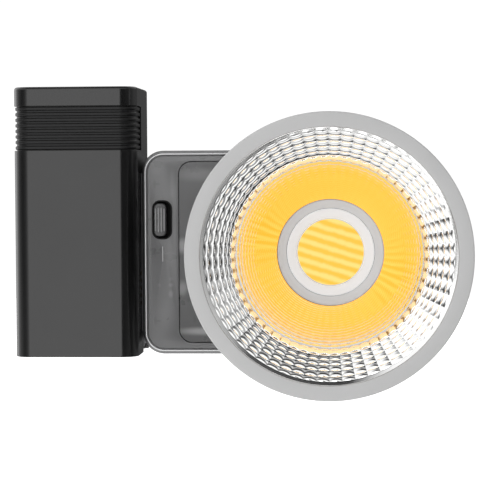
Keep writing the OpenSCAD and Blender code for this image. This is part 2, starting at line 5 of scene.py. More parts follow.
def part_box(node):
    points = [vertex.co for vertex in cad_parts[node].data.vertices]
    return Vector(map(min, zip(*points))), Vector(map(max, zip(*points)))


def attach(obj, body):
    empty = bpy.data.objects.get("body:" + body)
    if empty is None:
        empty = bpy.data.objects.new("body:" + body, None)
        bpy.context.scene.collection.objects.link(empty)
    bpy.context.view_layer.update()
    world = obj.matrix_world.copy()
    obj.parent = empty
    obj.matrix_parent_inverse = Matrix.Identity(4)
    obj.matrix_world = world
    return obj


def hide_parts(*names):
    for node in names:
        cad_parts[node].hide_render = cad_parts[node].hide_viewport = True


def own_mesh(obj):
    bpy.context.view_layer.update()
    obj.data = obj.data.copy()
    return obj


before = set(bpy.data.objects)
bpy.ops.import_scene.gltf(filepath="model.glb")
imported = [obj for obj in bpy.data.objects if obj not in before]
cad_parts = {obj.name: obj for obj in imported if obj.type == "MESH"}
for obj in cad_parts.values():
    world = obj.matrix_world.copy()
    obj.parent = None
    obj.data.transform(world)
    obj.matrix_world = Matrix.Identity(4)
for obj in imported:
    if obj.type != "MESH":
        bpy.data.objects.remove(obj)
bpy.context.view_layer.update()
MM = 0.001


def nbox(node):
    lo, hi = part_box(node)
    return [c / MM for c in lo], [c / MM for c in hi]


# ------------------------------------------------------------------ camera
def place_camera():
    data = bpy.data.cameras.new("cam")
    cam = bpy.data.objects.new("cam", data)
    bpy.context.scene.collection.objects.link(cam)
    bpy.context.scene.camera = cam
    data.sensor_width = 36.0
    data.lens = 139.96
    data.clip_start, data.clip_end = 0.05, 60.0
    yaw, pitch = -0.0650, -0.0390
    f = Vector((math.sin(yaw) * math.cos(pitch), math.cos(yaw) * math.cos(pitch), math.sin(pitch)))
    right = f.cross(Vector((0, 0, 1))).normalized()
    up = right.cross(f)
    a = 0.006
    r2 = right * math.cos(a) - up * math.sin(a)
    u2 = right * math.sin(a) + up * math.cos(a)
    m = Matrix((r2, u2, -f)).transposed().to_4x4()
    m.translation = Vector((34.1, -834.0, 79.74)) * MM
    cam.matrix_world = m
    return cam


place_camera()

# ------------------------------------------------------------------ mesh helpers
def new_piece(name, verts, faces, angle=35, scale=MM, sharp=None):
    me = bpy.data.meshes.new(name)
    me.from_pydata([tuple(c * scale for c in v) for v in verts], [], faces)
    ob = bpy.data.objects.new(name, me)
    bpy.context.scene.collection.objects.link(ob)
    tidy(ob, angle)
    return ob


def tidy(ob, angle=35, weld=True):
    bm = bmesh.new()
    bm.from_mesh(ob.data)
    if weld:
        bmesh.ops.remove_doubles(bm, verts=bm.verts, dist=1e-7)
    bmesh.ops.recalc_face_normals(bm, faces=bm.faces)
    for f in bm.faces:
        f.smooth = True
    lim = math.radians(angle)
    for e in bm.edges:
        if len(e.link_faces) == 2:
            e.smooth = e.calc_face_angle(0) < lim
        else:
            e.smooth = False
    bm.to_mesh(ob.data)
    bm.free()
    ob.data.update()


def apply_mods(ob):
    dg = bpy.context.evaluated_depsgraph_get()
    me = bpy.data.meshes.new_from_object(ob.evaluated_get(dg))
    old = ob.data
    ob.modifiers.clear()
    ob.data = me
    me.name = ob.name
    if old.users == 0:
        bpy.data.meshes.remove(old)


def boolean(ob, cutters, op="DIFFERENCE", angle=35):
    for c in cutters:
        m = ob.modifiers.new("b", "BOOLEAN")
        m.operation = op
        m.solver = "EXACT"
        m.object = c
    apply_mods(ob)
    for c in cutters:
        me = c.data
        bpy.data.objects.remove(c)
        bpy.data.meshes.remove(me)
    tidy(ob, angle)
    return ob


def bevel(ob, width, segs=2, angle=40, apply=True, harden=False):
    m = ob.modifiers.new("bevel", "BEVEL")
    m.width = width * MM
    m.segments = segs
    m.limit_method = "ANGLE"
    m.angle_limit = math.radians(angle)
    m.use_clamp_overlap = True
    m.miter_outer = "MITER_ARC"
    if apply:
        apply_mods(ob)
        tidy(ob, 32)
    return ob


def flat(ob):
    """Keep wide faces shading flat next to their fillets."""
    m = ob.modifiers.new("flat", "WEIGHTED_NORMAL")
    m.mode = "FACE_AREA"
    m.weight = 60
    m.keep_sharp = True
    return ob


def join(name, obs, angle=35):
    bm = bmesh.new()
    for o in obs:
        bm.from_mesh(o.data)
    me = bpy.data.meshes.new(name)
    bm.to_mesh(me)
    bm.free()
    for o in obs:
        d = o.data
        bpy.data.objects.remove(o)
        bpy.data.meshes.remove(d)
    ob = bpy.data.objects.new(name, me)
    bpy.context.scene.collection.objects.link(ob)
    tidy(ob, angle, weld=False)
    return ob


def rr_pts(w, h, r, n=10):
    """Rounded rectangle about the origin, anticlockwise."""
    out = []
    for k, (sx, sy) in enumerate(((1, 1), (-1, 1), (-1, -1), (1, -1))):
        cx, cy = sx * (w / 2 - r), sy * (h / 2 - r)
        for i in range(n + 1):
            a = math.pi / 2 * (k + i / n)
            out.append((cx + r * math.cos(a), cy + r * math.sin(a)))
    return out


def loft(sections, caps=True, closed_loop=True):
    n = len(sections[0])
    verts = [p for s in sections for p in s]
    faces = []
    last = n if closed_loop else n - 1
    for j in range(len(sections) - 1):
        for i in range(last):
            k = (i + 1) % n
            faces.append((j * n + i, j * n + k, (j + 1) * n + k, (j + 1) * n + i))
    if caps:
        faces.append(tuple(range(n - 1, -1, -1)))
        faces.append(tuple((len(sections) - 1) * n + i for i in range(n)))
    return verts, faces


def slab_y(name, cx, cz, w, h, r, y0, y1, f0=0.0, f1=0.0, n=10, segs=5, angle=30):
    """Rounded plate facing along Y with fillets f0 at y0 and f1 at y1."""
    secs = []
    for (y, f, d) in ((y0, f0, 1), (y1, f1, -1)):
        ring = []
        m = segs if f > 0 else 0
        for i in range(m + 1):
            t = math.pi / 2 * i / max(m, 1)
            ins = f * (1 - math.sin(t)) if m else 0
            yy = y + d * f * (1 - math.cos(t)) if m else y
            ring.append((ins, yy))
        if d == -1:
            ring.reverse()
        secs += ring
    sections = []
    for ins, yy in secs:
        rr = max(r - ins, 0.05)
        sections.append([(cx + x, yy, cz + z) for x, z in rr_pts(w - 2 * ins, h - 2 * ins, rr, n)])
    return new_piece(name, *loft(sections), angle=angle)


def slab_x(name, cy, cz, w, h, r, x0, x1, n=8, angle=30):
    secs = [[(x, cy + p, cz + q) for p, q in rr_pts(w, h, r, n)] for x in (x0, x1)]
    return new_piece(name, *loft(secs), angle=angle)


def slab_z(name, cx, cy, w, h, r, z0, z1, n=8, angle=30):
    secs = [[(cx + p, cy + q, z) for p, q in rr_pts(w, h, r, n)] for z in (z0, z1)]
    return new_piece(name, *loft(secs), angle=angle)


def box_piece(name, x0, x1, y0, y1, z0, z1):
    secs = [[(x0, y0, z), (x1, y0, z), (x1, y1, z), (x0, y1, z)] for z in (z0, z1)]
    return new_piece(name, *loft(secs), angle=30)


def lathe_y(name, cx, cz, prof, n=128, closed=True, angle=30):
    """Turn [(radius, y), ...] about the line along Y through cx, cz. A closed profile makes a ring."""
    verts, faces = [], []
    m = len(prof)
    for i in range(n):
        a = 2 * math.pi * i / n
        for r, y in prof:
            verts.append((cx + r * math.cos(a), y, cz + r * math.sin(a)))
    for i in range(n):
        k = (i + 1) % n
        for j in range(m if closed else m - 1):
            l = (j + 1) % m
            faces.append((i * m + j, i * m + l, k * m + l, k * m + j))
    return new_piece(name, verts, faces, angle=angle)


def rounded(prof, r, segs=4, which=None):
    """Round the corners of a closed 2D profile. r is one radius or one per corner."""
    n = len(prof)
    out = []
    for i in range(n):
        p0, p, p1 = Vector(prof[i - 1]), Vector(prof[i]), Vector(prof[(i + 1) % n])
        rad = r[i] if isinstance(r, (list, tuple)) else r
        if rad <= 0:
            out.append(tuple(p))
            continue
        a, b = (p0 - p), (p1 - p)
        la, lb = a.length, b.length
        a.normalize(); b.normalize()
        ang = math.acos(max(-1, min(1, a.dot(b))))
        t = min(rad / math.tan(ang / 2), la * 0.48, lb * 0.48)
        rr = t * math.tan(ang / 2)
        c = p + (a + b).normalized() * (rr / math.sin(ang / 2))
        s, e = p + a * t, p + b * t
        a0 = math.atan2(s.y - c.y, s.x - c.x)
        a1 = math.atan2(e.y - c.y, e.x - c.x)
        d = (a1 - a0 + math.pi) % (2 * math.pi) - math.pi
        for k in range(segs + 1):
            q = a0 + d * k / segs
            out.append((c.x + rr * math.cos(q), c.y + rr * math.sin(q)))
    return out


def put(ob, body, slot, *nodes):
    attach(ob, body)
    if nodes:
        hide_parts(*nodes)
    return ob


# ------------------------------------------------------------------ materials
class Nodes:
    def __init__(self, name):
        self.m = bpy.data.materials.new(name)
        self.m.use_nodes = True
        self.t = self.m.node_tree
        self.t.nodes.clear()
        self.out = self.t.nodes.new("ShaderNodeOutputMaterial")
        self.b = self.t.nodes.new("ShaderNodeBsdfPrincipled")
        self.t.links.new(self.b.outputs[0], self.out.inputs[0])
        self.co = self.t.nodes.new("ShaderNodeTexCoord").outputs["Object"]

    def link(self, a, b):
        self.t.links.new(a, b)

    def new(self, kind, **kw):
        n = self.t.nodes.new(kind)
        for k, v in kw.items():
            if k in n.bl_rna.properties and k != "inputs":
                setattr(n, k, v)
        return n

    def noise(self, scale, detail=3, rough=0.55, dist=0.0, co=None):
        n = self.new("ShaderNodeTexNoise")
        n.inputs["Scale"].default_value = scale
        n.inputs["Detail"].default_value = detail
        n.inputs["Roughness"].default_value = rough
        n.inputs["Distortion"].default_value = dist
        self.link(co or self.co, n.inputs["Vector"])
        return n.outputs["Fac"]

    def voronoi(self, scale, feature="F1", co=None):
        n = self.new("ShaderNodeTexVoronoi", feature=feature)
        n.inputs["Scale"].default_value = scale
        self.link(co or self.co, n.inputs["Vector"])
        return n.outputs["Distance"]

    def ramp(self, fac, stops):
        n = self.new("ShaderNodeValToRGB")
        cr = n.color_ramp
        while len(cr.elements) < len(stops):
            cr.elements.new(0.5)
        for e, (p, c) in zip(cr.elements, stops):
            e.position = p
            e.color = (*c, 1) if len(c) == 3 else c
        self.link(fac, n.inputs["Fac"])
        return n.outputs["Color"]

    def remap(self, v, a, b, c, d):
        n = self.new("ShaderNodeMapRange")
        n.inputs["From Min"].default_value, n.inputs["From Max"].default_value = a, b
        n.inputs["To Min"].default_value, n.inputs["To Max"].default_value = c, d
        self.link(v, n.inputs["Value"])
        return n.outputs["Result"]

    def math(self, op, a, b=None, clamp=False):
        n = self.new("ShaderNodeMath", operation=op, use_clamp=clamp)
        for i, x in enumerate((a, b)):
            if x is None:
                continue
            if isinstance(x, (int, float)):
                n.inputs[i].default_value = x
            else:
                self.link(x, n.inputs[i])
        return n.outputs[0]

    def mix(self, fac, a, b):
        n = self.new("ShaderNodeMix", data_type="RGBA")
        for s, x in ((0, fac), (6, a), (7, b)):
            if isinstance(x, (int, float)):
                n.inputs[s].default_value = x
            elif isinstance(x, tuple):
                n.inputs[s].default_value = (*x, 1)
            else:
                self.link(x, n.inputs[s])
        return n.outputs[2]

    def bump(self, height, strength, distance_mm, normal=None):
        n = self.new("ShaderNodeBump")
        n.inputs["Strength"].default_value = strength
        n.inputs["Distance"].default_value = distance_mm * MM
        self.link(height, n.inputs["Height"])
        if normal is not None:
            self.link(normal, n.inputs["Normal"])
        return n.outputs["Normal"]

    def edge(self, radius_mm, lo=0.0, hi=0.25):
        """0 on flats, 1 along edges, from how far a softened normal leans from the true one."""
        bv = self.new("ShaderNodeBevel", samples=4)
        bv.inputs["Radius"].default_value = radius_mm * MM
        g = self.new("ShaderNodeNewGeometry")
        d = self.new("ShaderNodeVectorMath", operation="DOT_PRODUCT")
        self.link(bv.outputs[0], d.inputs[0])
        self.link(g.outputs["Normal"], d.inputs[1])
        return self.remap(d.outputs["Value"], 1 - lo, 1 - hi, 0, 1)

    def set(self, **kw):
        for k, v in kw.items():
            s = self.b.inputs[k.replace("_", " ")]
            if isinstance(v, (int, float)):
                s.default_value = v
            elif isinstance(v, tuple):
                s.default_value = (*v, 1) if len(v) == 3 else v
            else:
                self.link(v, s)


def plastic(name, col, rough=0.4, grain_mm=0.22, grain=0.25, depth=0.02, vary=0.18, spec=0.5, wear=0.0, wear_mm=0.35, coat=0.0, front=None):
    n = Nodes(name)
    big = n.noise(45, 4, 0.6)
    fine = n.noise(1 / (grain_mm * MM), 2, 0.5)
    mid = n.noise(1 / (grain_mm * 6 * MM), 3, 0.55)
    lo = tuple(c * (1 - vary) for c in col)
    hi = tuple(c * (1 + vary) for c in col)
    colour = n.ramp(big, [(0.3, lo), (0.7, hi)])
    if wear > 0:
        e = n.edge(wear_mm)
        e = n.math("MULTIPLY", e, n.remap(mid, 0.35, 0.65, 0.25, 1.0))
        e = n.math("MULTIPLY", e, wear, clamp=True)
        colour = n.mix(e, colour, tuple(min(1, c * 2.2 + 0.03) for c in col))
    # front = (y_full, y_none, colour): painted highlight, a lighter colour on the surface nearest the front in Y, faded
    # out towards the end at HX0, which lies in shade
    if front:
        sep = n.new("ShaderNodeSeparateXYZ")
        n.link(n.co, sep.inputs[0])
        k = n.math("MULTIPLY", n.remap(sep.outputs["Y"], front[0] * MM, front[1] * MM, 1.0, 0.0), n.remap(sep.outputs["X"], (HX0 + 0.6) * MM, (HX0 + 3.5) * MM, 0.0, 1.0))
        colour = n.mix(k, colour, front[2])
    r = n.remap(n.math("ADD", n.math("MULTIPLY", mid, 0.5), n.math("MULTIPLY", big, 0.5)), 0.3, 0.7, rough * 0.9, rough * 1.12)
    n.set(Base_Color=colour, Roughness=r, Specular_IOR_Level=spec)
    if coat:
        n.set(Coat_Weight=coat, Coat_Roughness=0.12)
    n.set(Normal=n.bump(fine, grain, depth))
    return n.m


def glow(mat, col, strength):
    b = [n for n in mat.node_tree.nodes if n.type == "BSDF_PRINCIPLED"][0]
    b.inputs["Emission Color"].default_value = (*col, 1)
    b.inputs["Emission Strength"].default_value = strength
    return mat


def metal(name, col, rough=0.3, brushed=None, vary=0.06, wear=0.0, scratch=0.15, grain_mm=0.15):
    n = Nodes(name)
    big = n.noise(60, 4, 0.6)
    co = n.co
    if brushed:
        mp = n.new("ShaderNodeMapping")
        mp.inputs["Scale"].default_value = brushed
        n.link(n.co, mp.inputs["Vector"])
        co = mp.outputs["Vector"]
    fine = n.noise(1 / (grain_mm * MM), 3, 0.6, co=co)
    lo = tuple(c * (1 - vary) for c in col)
    hi = tuple(min(1, c * (1 + vary)) for c in col)
    n.set(Base_Color=n.ramp(n.math("ADD", n.math("MULTIPLY", big, 0.6), n.math("MULTIPLY", fine, 0.4)), [(0.3, lo), (0.7, hi)]),
          Roughness=n.remap(fine, 0.3, 0.7, rough * 0.85, rough * 1.2), Metallic=1.0)
    n.set(Normal=n.bump(fine, scratch, 0.006))
    return n.m


MAT = {}


def mats():
    M = MAT
    M["grip"] = plastic("grip_black_plastic", (0.0050, 0.0050, 0.0052), 0.21, grain_mm=0.16, grain=0.06, depth=0.006, vary=0.12, wear=0.25)
    M["ribs"] = plastic("rib_rubber", (0.006, 0.006, 0.0063), 0.36, spec=0.3, grain_mm=0.12, grain=0.25, depth=0.01, vary=0.2)
    M["shell"] = plastic("housing_dark_plastic", (0.045, 0.045, 0.047), 0.38, grain_mm=0.2, grain=0.3, depth=0.018, vary=0.15, wear=0.4)
    # housing copy with a painted highlight along its front lip
    M["body"] = plastic("housing_plastic_with_painted_highlight", (0.045, 0.045, 0.047), 0.38, grain_mm=0.2, grain=0.3, depth=0.018, vary=0.15, wear=0.4, front=(HY0 + 0.75, HY0 + 1.05, (0.26, 0.26, 0.262)))
    M["well"] = plastic("well_black", (0.0035, 0.0035, 0.0035), 0.6, spec=0.08, grain=0.1, depth=0.006, vary=0.2)
    M["lip"] = plastic("slider_lip_black", (0.006, 0.006, 0.006), 0.4, spec=0.22, grain=0.08, depth=0.005, vary=0.15)
    M["black"] = plastic("black_matt_plastic", (0.012, 0.012, 0.0125), 0.5, grain_mm=0.15, grain=0.25, depth=0.01, wear=0.3)
    M["gloss_black"] = plastic("gloss_black_plastic", (0.004, 0.004, 0.0045), 0.22, grain=0.03, depth=0.004, vary=0.1)
    M["rim"] = plastic("rim_silver_paint", (0.565, 0.565, 0.565), 0.36, grain_mm=0.14, grain=0.12, depth=0.008, vary=0.02, spec=0.5)
    M["ring"] = plastic("ring_satin_paint", (0.80, 0.835, 0.87), 0.30, grain_mm=0.16, grain=0.08, depth=0.006, vary=0.02)
    # painted glow: the retainer ring emits faintly, standing in for the light it gets inside the bowl
    glow(M["ring"], (0.85, 0.93, 1.0), 0.05)
    M["collar"] = metal("collar_satin_metal", (0.40, 0.40, 0.41), 0.34, scratch=0.12)
    M["white"] = plastic("white_holder", (0.84, 0.84, 0.83), 0.45, grain_mm=0.2, grain=0.06, depth=0.01, vary=0.015)
    # painted glow: the holder emits, standing in for the light the source throws on it
    glow(M["white"], (0.90, 0.95, 1.0), 0.26)
    M["bars"] = plastic("display_lit_bars", (0.30, 0.36, 0.40), 0.4, grain_mm=0.1, grain=0.05, depth=0.002, vary=0.05)
    glow(M["bars"], (0.75, 0.9, 1.0), 0.6)
    M["inlay"] = plastic("index_line_paint", (0.50, 0.50, 0.50), 0.4, grain_mm=0.1, grain=0.05, depth=0.004, vary=0.05)
    # the ridge crests nearest the front get a lighter colour: painted highlights
    M["slider"] = plastic("slider_grey", (0.085, 0.085, 0.087), 0.28, grain_mm=0.1, grain=0.08, depth=0.006, vary=0.08, front=(SLY + 0.10, SLY + 0.34, (0.36, 0.36, 0.365)))
    M["knob"] = plastic("knob_black", (0.014, 0.014, 0.0145), 0.38, grain=0.15, depth=0.01, wear=0.4)
    M["switch"] = plastic("switch_red", (0.38, 0.018, 0.012), 0.38, grain=0.1, depth=0.01, wear=0.3)
    M["button"] = plastic("button_grey", (0.075, 0.075, 0.078), 0.4, grain=0.1, depth=0.01, wear=0.3)
    M["rail"] = metal("rail_anodised", (0.42, 0.42, 0.44), 0.36, brushed=(1, 1, 0.04), scratch=0.2)
    M["steel"] = metal("bright_steel", (0.60, 0.60, 0.61), 0.28, brushed=(0.06, 1, 1), scratch=0.15)
    M["screw"] = metal("black_oxide_steel", (0.06, 0.06, 0.062), 0.38, scratch=0.2)
    M["brass"] = metal("turned_brass", (0.66, 0.47, 0.20), 0.26, scratch=0.12)
    M["gold"] = metal("gold_contact", (0.86, 0.62, 0.24), 0.2, scratch=0.08)
    M["alu"] = metal("milled_aluminium", (0.62, 0.63, 0.64), 0.34, brushed=(1, 1, 0.05), scratch=0.2)
    M["fins"] = metal("dark_anodised_fins", (0.09, 0.09, 0.095), 0.4, scratch=0.15)
    M["copper"] = metal("enamelled_copper", (0.55, 0.22, 0.10), 0.3, scratch=0.3)
    M["comp"] = plastic("moulded_component", (0.02, 0.02, 0.021), 0.45, grain=0.2)
    M["natural"] = plastic("natural_moulding", (0.55, 0.53, 0.48), 0.5, grain=0.1)
    M["wire"] = plastic("silicone_wire", (0.42, 0.014, 0.01), 0.42, grain=0.06)
    M["pipe"] = plastic("frosted_clear", (0.62, 0.66, 0.62), 0.35, grain=0.05, vary=0.04)

    n = Nodes("circuit_board_mask")
    tr = n.voronoi(900, "DISTANCE_TO_EDGE")
    v = n.noise(300, 2)
    n.set(Base_Color=n.mix(n.remap(tr, 0.02, 0.05, 0.0, 1.0), (0.02, 0.13, 0.06), (0.012, 0.07, 0.032)), Roughness=n.remap(v, 0.3, 0.7, 0.25, 0.4))
    n.set(Normal=n.bump(tr, 0.2, 0.02))
    M["pcb"] = n.m

    n = Nodes("shrink_wrapped_cell")
    v = n.noise(250, 4, 0.6)
    n.set(Base_Color=n.ramp(v, [(0.3, (0.02, 0.10, 0.22)), (0.7, (0.03, 0.14, 0.30))]), Roughness=n.remap(v, 0.3, 0.7, 0.25, 0.4), Coat_Weight=0.4)
    n.set(Normal=n.bump(v, 0.15, 0.05))
    M["cell"] = n.m

    # vacuum-metallised facets; inside about 35 mm radius the colour is warmed and a warm emission added: a painted
    # reflection and painted glow of the yellow source
    n = Nodes("metallised_facets")
    v = n.noise(120, 3, 0.5)
    w = n.noise(2600, 2, 0.5)
    sep = n.new("ShaderNodeSeparateXYZ")
    n.link(n.co, sep.inputs[0])
    dx, dz = n.math("SUBTRACT", sep.outputs["X"], AX * MM), n.math("SUBTRACT", sep.outputs["Z"], AZ * MM)
    rad = n.math("SQRT", n.math("ADD", n.math("MULTIPLY", dx, dx), n.math("MULTIPLY", dz, dz)))
    facet_colour_and_painted_reflection = n.ramp(v, [(0.3, (0.90, 0.90, 0.895)), (0.7, (0.94, 0.94, 0.935))])
    # mask for the painted warm reflection and glow: full inside 35 mm, gone by 38.5 mm
    out = n.remap(rad, 0.0350, 0.0385, 0.0, 1.0)
    facet_colour_and_painted_reflection = n.mix(out, (0.95, 0.72, 0.42), facet_colour_and_painted_reflection)
    n.set(Emission_Color=n.mix(out, (0.25, 0.105, 0.010), (0.0, 0.0, 0.0)), Emission_Strength=1.0)
    n.set(Base_Color=facet_colour_and_painted_reflection, Metallic=1.0, Roughness=n.remap(w, 0.3, 0.7, 0.035, 0.075))
    n.set(Normal=n.bump(w, 0.05, 0.004))
    M["mirror"] = n.m

    # smoke-grey translucent cover: paler toward the top, with soft painted highlights and darker shapes painted where
    # parts lie behind it
    for key, name, lo, hi, alpha, light, dark in (
            ("cover", "smoke_cover", 0.190, 0.262, 0.84,
             ((-50.1, 32.5, 1.5, 1.3, 0.3), (-50.1, 29.9, 1.5, 1.3, 0.5), (-50.2, 26.0, 1.6, 2.4, 0.5), (-55.3, 29.9, 1.3, 1.2, 0.25), (-49.2, 73, 1.6, 10, 0.3), (-56.5, 79, 3.5, 2.6, 0.2), (-52, 17, 5, 9, 0.12), (-50.3, 45, 2.2, 9, 0.25)),
             ((-56.9, 73.6, 1.0, 2.8, 0.22), (-55.6, 73.6, 1.6, 0.7, 0.22), (-56.9, 43.8, 1.0, 2.8, 0.18), (-55.6, 43.8, 1.6, 0.7, 0.2), (-56.9, 14.3, 1.0, 2.8, 0.2), (-55.6, 14.3, 1.6, 0.7, 0.2), (-50, 60, 4, 10, 0.2))),
            ("panel", "smoke_panel", 0.080, 0.162, 0.84,
             ((-45.0, 46.8, 4.6, 4.6, 1.0), (-45.2, 28.4, 3.4, 4.6, 0.7), (-36, 9.8, 16, 2.5, 0.9), (-36, 77.5, 18, 4.0, 0.4)),
             ((-41, 62, 8, 14, 0.2), (-42.3, 23.4, 1.6, 1.6, 0.4), (-40, 15, 1.0, 2.6, 0.35), (-37.5, 15, 0.9, 2.6, 0.3)))):
        n = Nodes(name)
        sep = n.new("ShaderNodeSeparateXYZ")
        n.link(n.co, sep.inputs[0])

        def spot(x0, z0, rx, rz, k):
            dx = n.math("MULTIPLY", n.math("SUBTRACT", sep.outputs["X"], x0 * MM), 1 / (rx * MM))
            dz = n.math("MULTIPLY", n.math("SUBTRACT", sep.outputs["Z"], z0 * MM), 1 / (rz * MM))
            d = n.math("SQRT", n.math("ADD", n.math("MULTIPLY", dx, dx), n.math("MULTIPLY", dz, dz)))
            m = n.new("ShaderNodeMapRange", interpolation_type="SMOOTHSTEP")
            m.inputs["From Min"].default_value, m.inputs["From Max"].default_value = 0.15, 1.0
            m.inputs["To Min"].default_value, m.inputs["To Max"].default_value = k, 0.0
            n.link(d, m.inputs["Value"])
            return m.outputs["Result"]

        big = n.noise(38, 4, 0.55, 0.6)
        mid = n.noise(160, 3, 0.55)
        fine = n.noise(5200, 2, 0.5)
        up = n.remap(sep.outputs["Z"], 0.004, 0.084, 0.0, 0.7)
        f = n.math("ADD", up, n.math("ADD", n.remap(big, 0.3, 0.7, 0.0, 0.2), n.remap(mid, 0.3, 0.7, 0.0, 0.1)))
        col = n.ramp(f, [(0.0, (lo, lo, lo * 1.015)), (1.0, (hi, hi, hi * 1.015))])
        # light spots are painted highlights; dark spots are shapes painted where parts lie behind the cover
        for sp in light:
            col = n.mix(spot(*sp), col, (0.37, 0.37, 0.372))
        for sp in dark:
            col = n.mix(spot(*sp), col, (0.055, 0.055, 0.056))
        n.set(Base_Color=col, Roughness=n.remap(mid, 0.3, 0.7, 0.26, 0.34), Alpha=alpha)
        n.set(Normal=n.bump(fine, 0.08, 0.006))
        M[key] = n.m

    # bright satin trim
    n = Nodes("trim_bright")
    v = n.noise(400, 3, 0.6)
    n.set(Base_Color=n.ramp(v, [(0.3, (0.40, 0.40, 0.405)), (0.7, (0.47, 0.47, 0.475))]), Metallic=1.0, Roughness=n.remap(v, 0.3, 0.7, 0.26, 0.36))
    n.set(Normal=n.bump(v, 0.05, 0.01))
    M["trim"] = n.m

    # display glass
    n = Nodes("display_glass")
    v = n.noise(70, 2, 0.5)
    n.set(Base_Color=n.ramp(v, [(0.3, (0.004, 0.004, 0.006)), (0.7, (0.006, 0.006, 0.009))]), Roughness=n.remap(v, 0.3, 0.7, 0.04, 0.07), Specular_IOR_Level=0.6)
    M["glass"] = n.m

    # yellow gel with its rows of chips underneath
    n = Nodes("light_source_gel")
    sep = n.new("ShaderNodeSeparateXYZ")
    n.link(n.co, sep.inputs[0])
    wob = n.noise(160, 3, 0.6)
    a = math.radians(17)
    s = n.math("ADD", n.math("MULTIPLY", sep.outputs["X"], math.sin(a)), n.math("MULTIPLY", sep.outputs["Z"], math.cos(a)))
    s = n.math("ADD", s, n.math("MULTIPLY", n.math("SUBTRACT", wob, 0.5), 0.0009))
    ph = n.math("SINE", n.math("MULTIPLY", s, 2 * math.pi / 0.004))
    rows = n.remap(n.math("ADD", ph, n.math("MULTIPLY", n.math("SUBTRACT", n.noise(420, 3), 0.5), 1.2)), -0.75, 0.75, 0.0, 1.0)
    col = n.mix(rows, (1.0, 0.57, 0.07), (1.0, 0.75, 0.22))
    n.set(Base_Color=(0.05, 0.03, 0.004), Roughness=n.remap(wob, 0.3, 0.7, 0.42, 0.5), Emission_Color=col, Emission_Strength=1.03, Specular_IOR_Level=0.15)
    M["gel"] = n.m


def wear_on(node, mat):
    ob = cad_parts[node]
    ob.data.materials.clear()
    ob.data.materials.append(MAT[mat])


def paint(ob, mat):
    ob.data.materials.clear()
    ob.data.materials.append(MAT[mat])
    return ob


(PX0, PY0, PZ0), (PX1, PY1, PZ1) = nbox("cob_phosphor")
AX, AZ = (PX0 + PX1) / 2, (PZ0 + PZ1) / 2
(HX0, HY0, HZ0), (HX1, HY1, HZ1) = nbox("rear_housing")
HX0 = -HX1  # the seal rib on the grip side stands a little proud of the skin
SLY = nbox("unlock_slider")[0][1]
mats()

CAD_MAT = {
    "heat_spreader": "alu", "heatsink": "fins", "fan_frame": "black", "fan_stator": "copper", "fan_bearing": "brass",
    "driver_board": "pcb", "driver_components": "comp", "control_board": "pcb", "display_module": "comp", "encoders": "steel",
    "back_grille": "black", "dc_jack": "black", "usb_c_port": "steel", "power_switch_body": "black", "tripod_bush": "brass",
    "housing_screws": "screw", "rail_plate": "rail", "contact_block": "natural", "contact_pins": "gold", "latch_leaf": "steel",
    "led_leads": "wire", "slider_spring": "steel", "power_switch_knob": "switch", "fan_rotor": "black", "fan_shaft": "steel",
    "mount_ring": "collar", "cob_substrate": "alu", "reflector_screws": "screw", "reflector_collar": "collar",
    "grip_back_cover": "grip", "grip_bottom_cap": "grip", "grip_channel": "rail", "battery_cells": "cell", "cell_cradles": "black",
    "bms_boards": "pcb", "bms_components": "comp", "grip_usb_c_port": "steel", "charge_button": "button", "level_light_pipes": "pipe",
    "grip_contact_pads": "gold", "grip_tripod_bush": "brass", "grip_screws": "screw", "display_window": "glass",
    "brightness_knob": "knob", "cct_knob": "knob",
}
for node, mat in CAD_MAT.items():
    wear_on(node, mat)

# ------------------------------------------------------------------ main sizes, from the frame
(TX0, TY0, TZ0), (TX1, TY1, TZ1) = nbox("trim_bezel")
(GX0, GY0, GZ0), (GX1, GY1, GZ1) = nbox("grip_shell")
HCX, HCZ = (HX0 + HX1) / 2, (HZ0 + HZ1) / 2
HW, HH = HX1 - HX0, HZ1 - HZ0
HR = 9.4

# ------------------------------------------------------------------ reflector
(RX0, RY0, RZ0), (RX1, RY1, RZ1) = nbox("reflector_rim")
RIM_R = (RX1 - RX0) / 2
MOUTH, LIP = 52.6, 51.3
LED_Y = PY0


def bowl_profile():
    """Radius and height above the light source: a curve that folds the source onto the viewer, then a flare."""
    pts = [(22.9, 5.1)]
    r, h, n = 22.9, 5.1, 160
    r1 = 38.6
    dr = (r1 - r) / n
    for i in range(n):
        t = (i + 0.5) / n
        xl = -7.0 * t ** 1.5
        d = Vector((xl - r, -h)).normalized()
        h += -d.x / (1 + d.y) * dr
        r += dr
        pts.append((r, h))
    a0 = math.atan2(dr, pts[-1][1] - pts[-2][1])
    # flare: the wall leans out from a0 to about 52 degrees, ending at the mouth
    n2 = 140
    target = 41.50

    def flare(amid):
        rr, hh, out = r, h, []
        d2 = (LIP - r) / n2
        for i in range(n2):
            t = (i + 0.5) / n2
            s = min(1.0, t / 0.30)
            a = a0 + (amid - a0) * (s * s * (3 - 2 * s))
            hh += d2 / math.tan(a)
            rr += d2
            out.append((rr, hh))
        return out

    lo, hi = math.radians(35), math.radians(75)
    for _ in range(40):
        mid = (lo + hi) / 2
        if flare(mid)[-1][1] > target:
            lo = mid
        else:
            hi = mid
    return pts + flare((lo + hi) / 2) + [(MOUTH, 42.85)]


PROF = bowl_profile()


def bowl_h(r):
    if r <= PROF[0][0]:
        return PROF[0][1]
    for (r0, h0), (r1, h1) in zip(PROF, PROF[1:]):
        if r <= r1:
            return h0 + (h1 - h0) * (r - r0) / (r1 - r0)
    return PROF[-1][1]


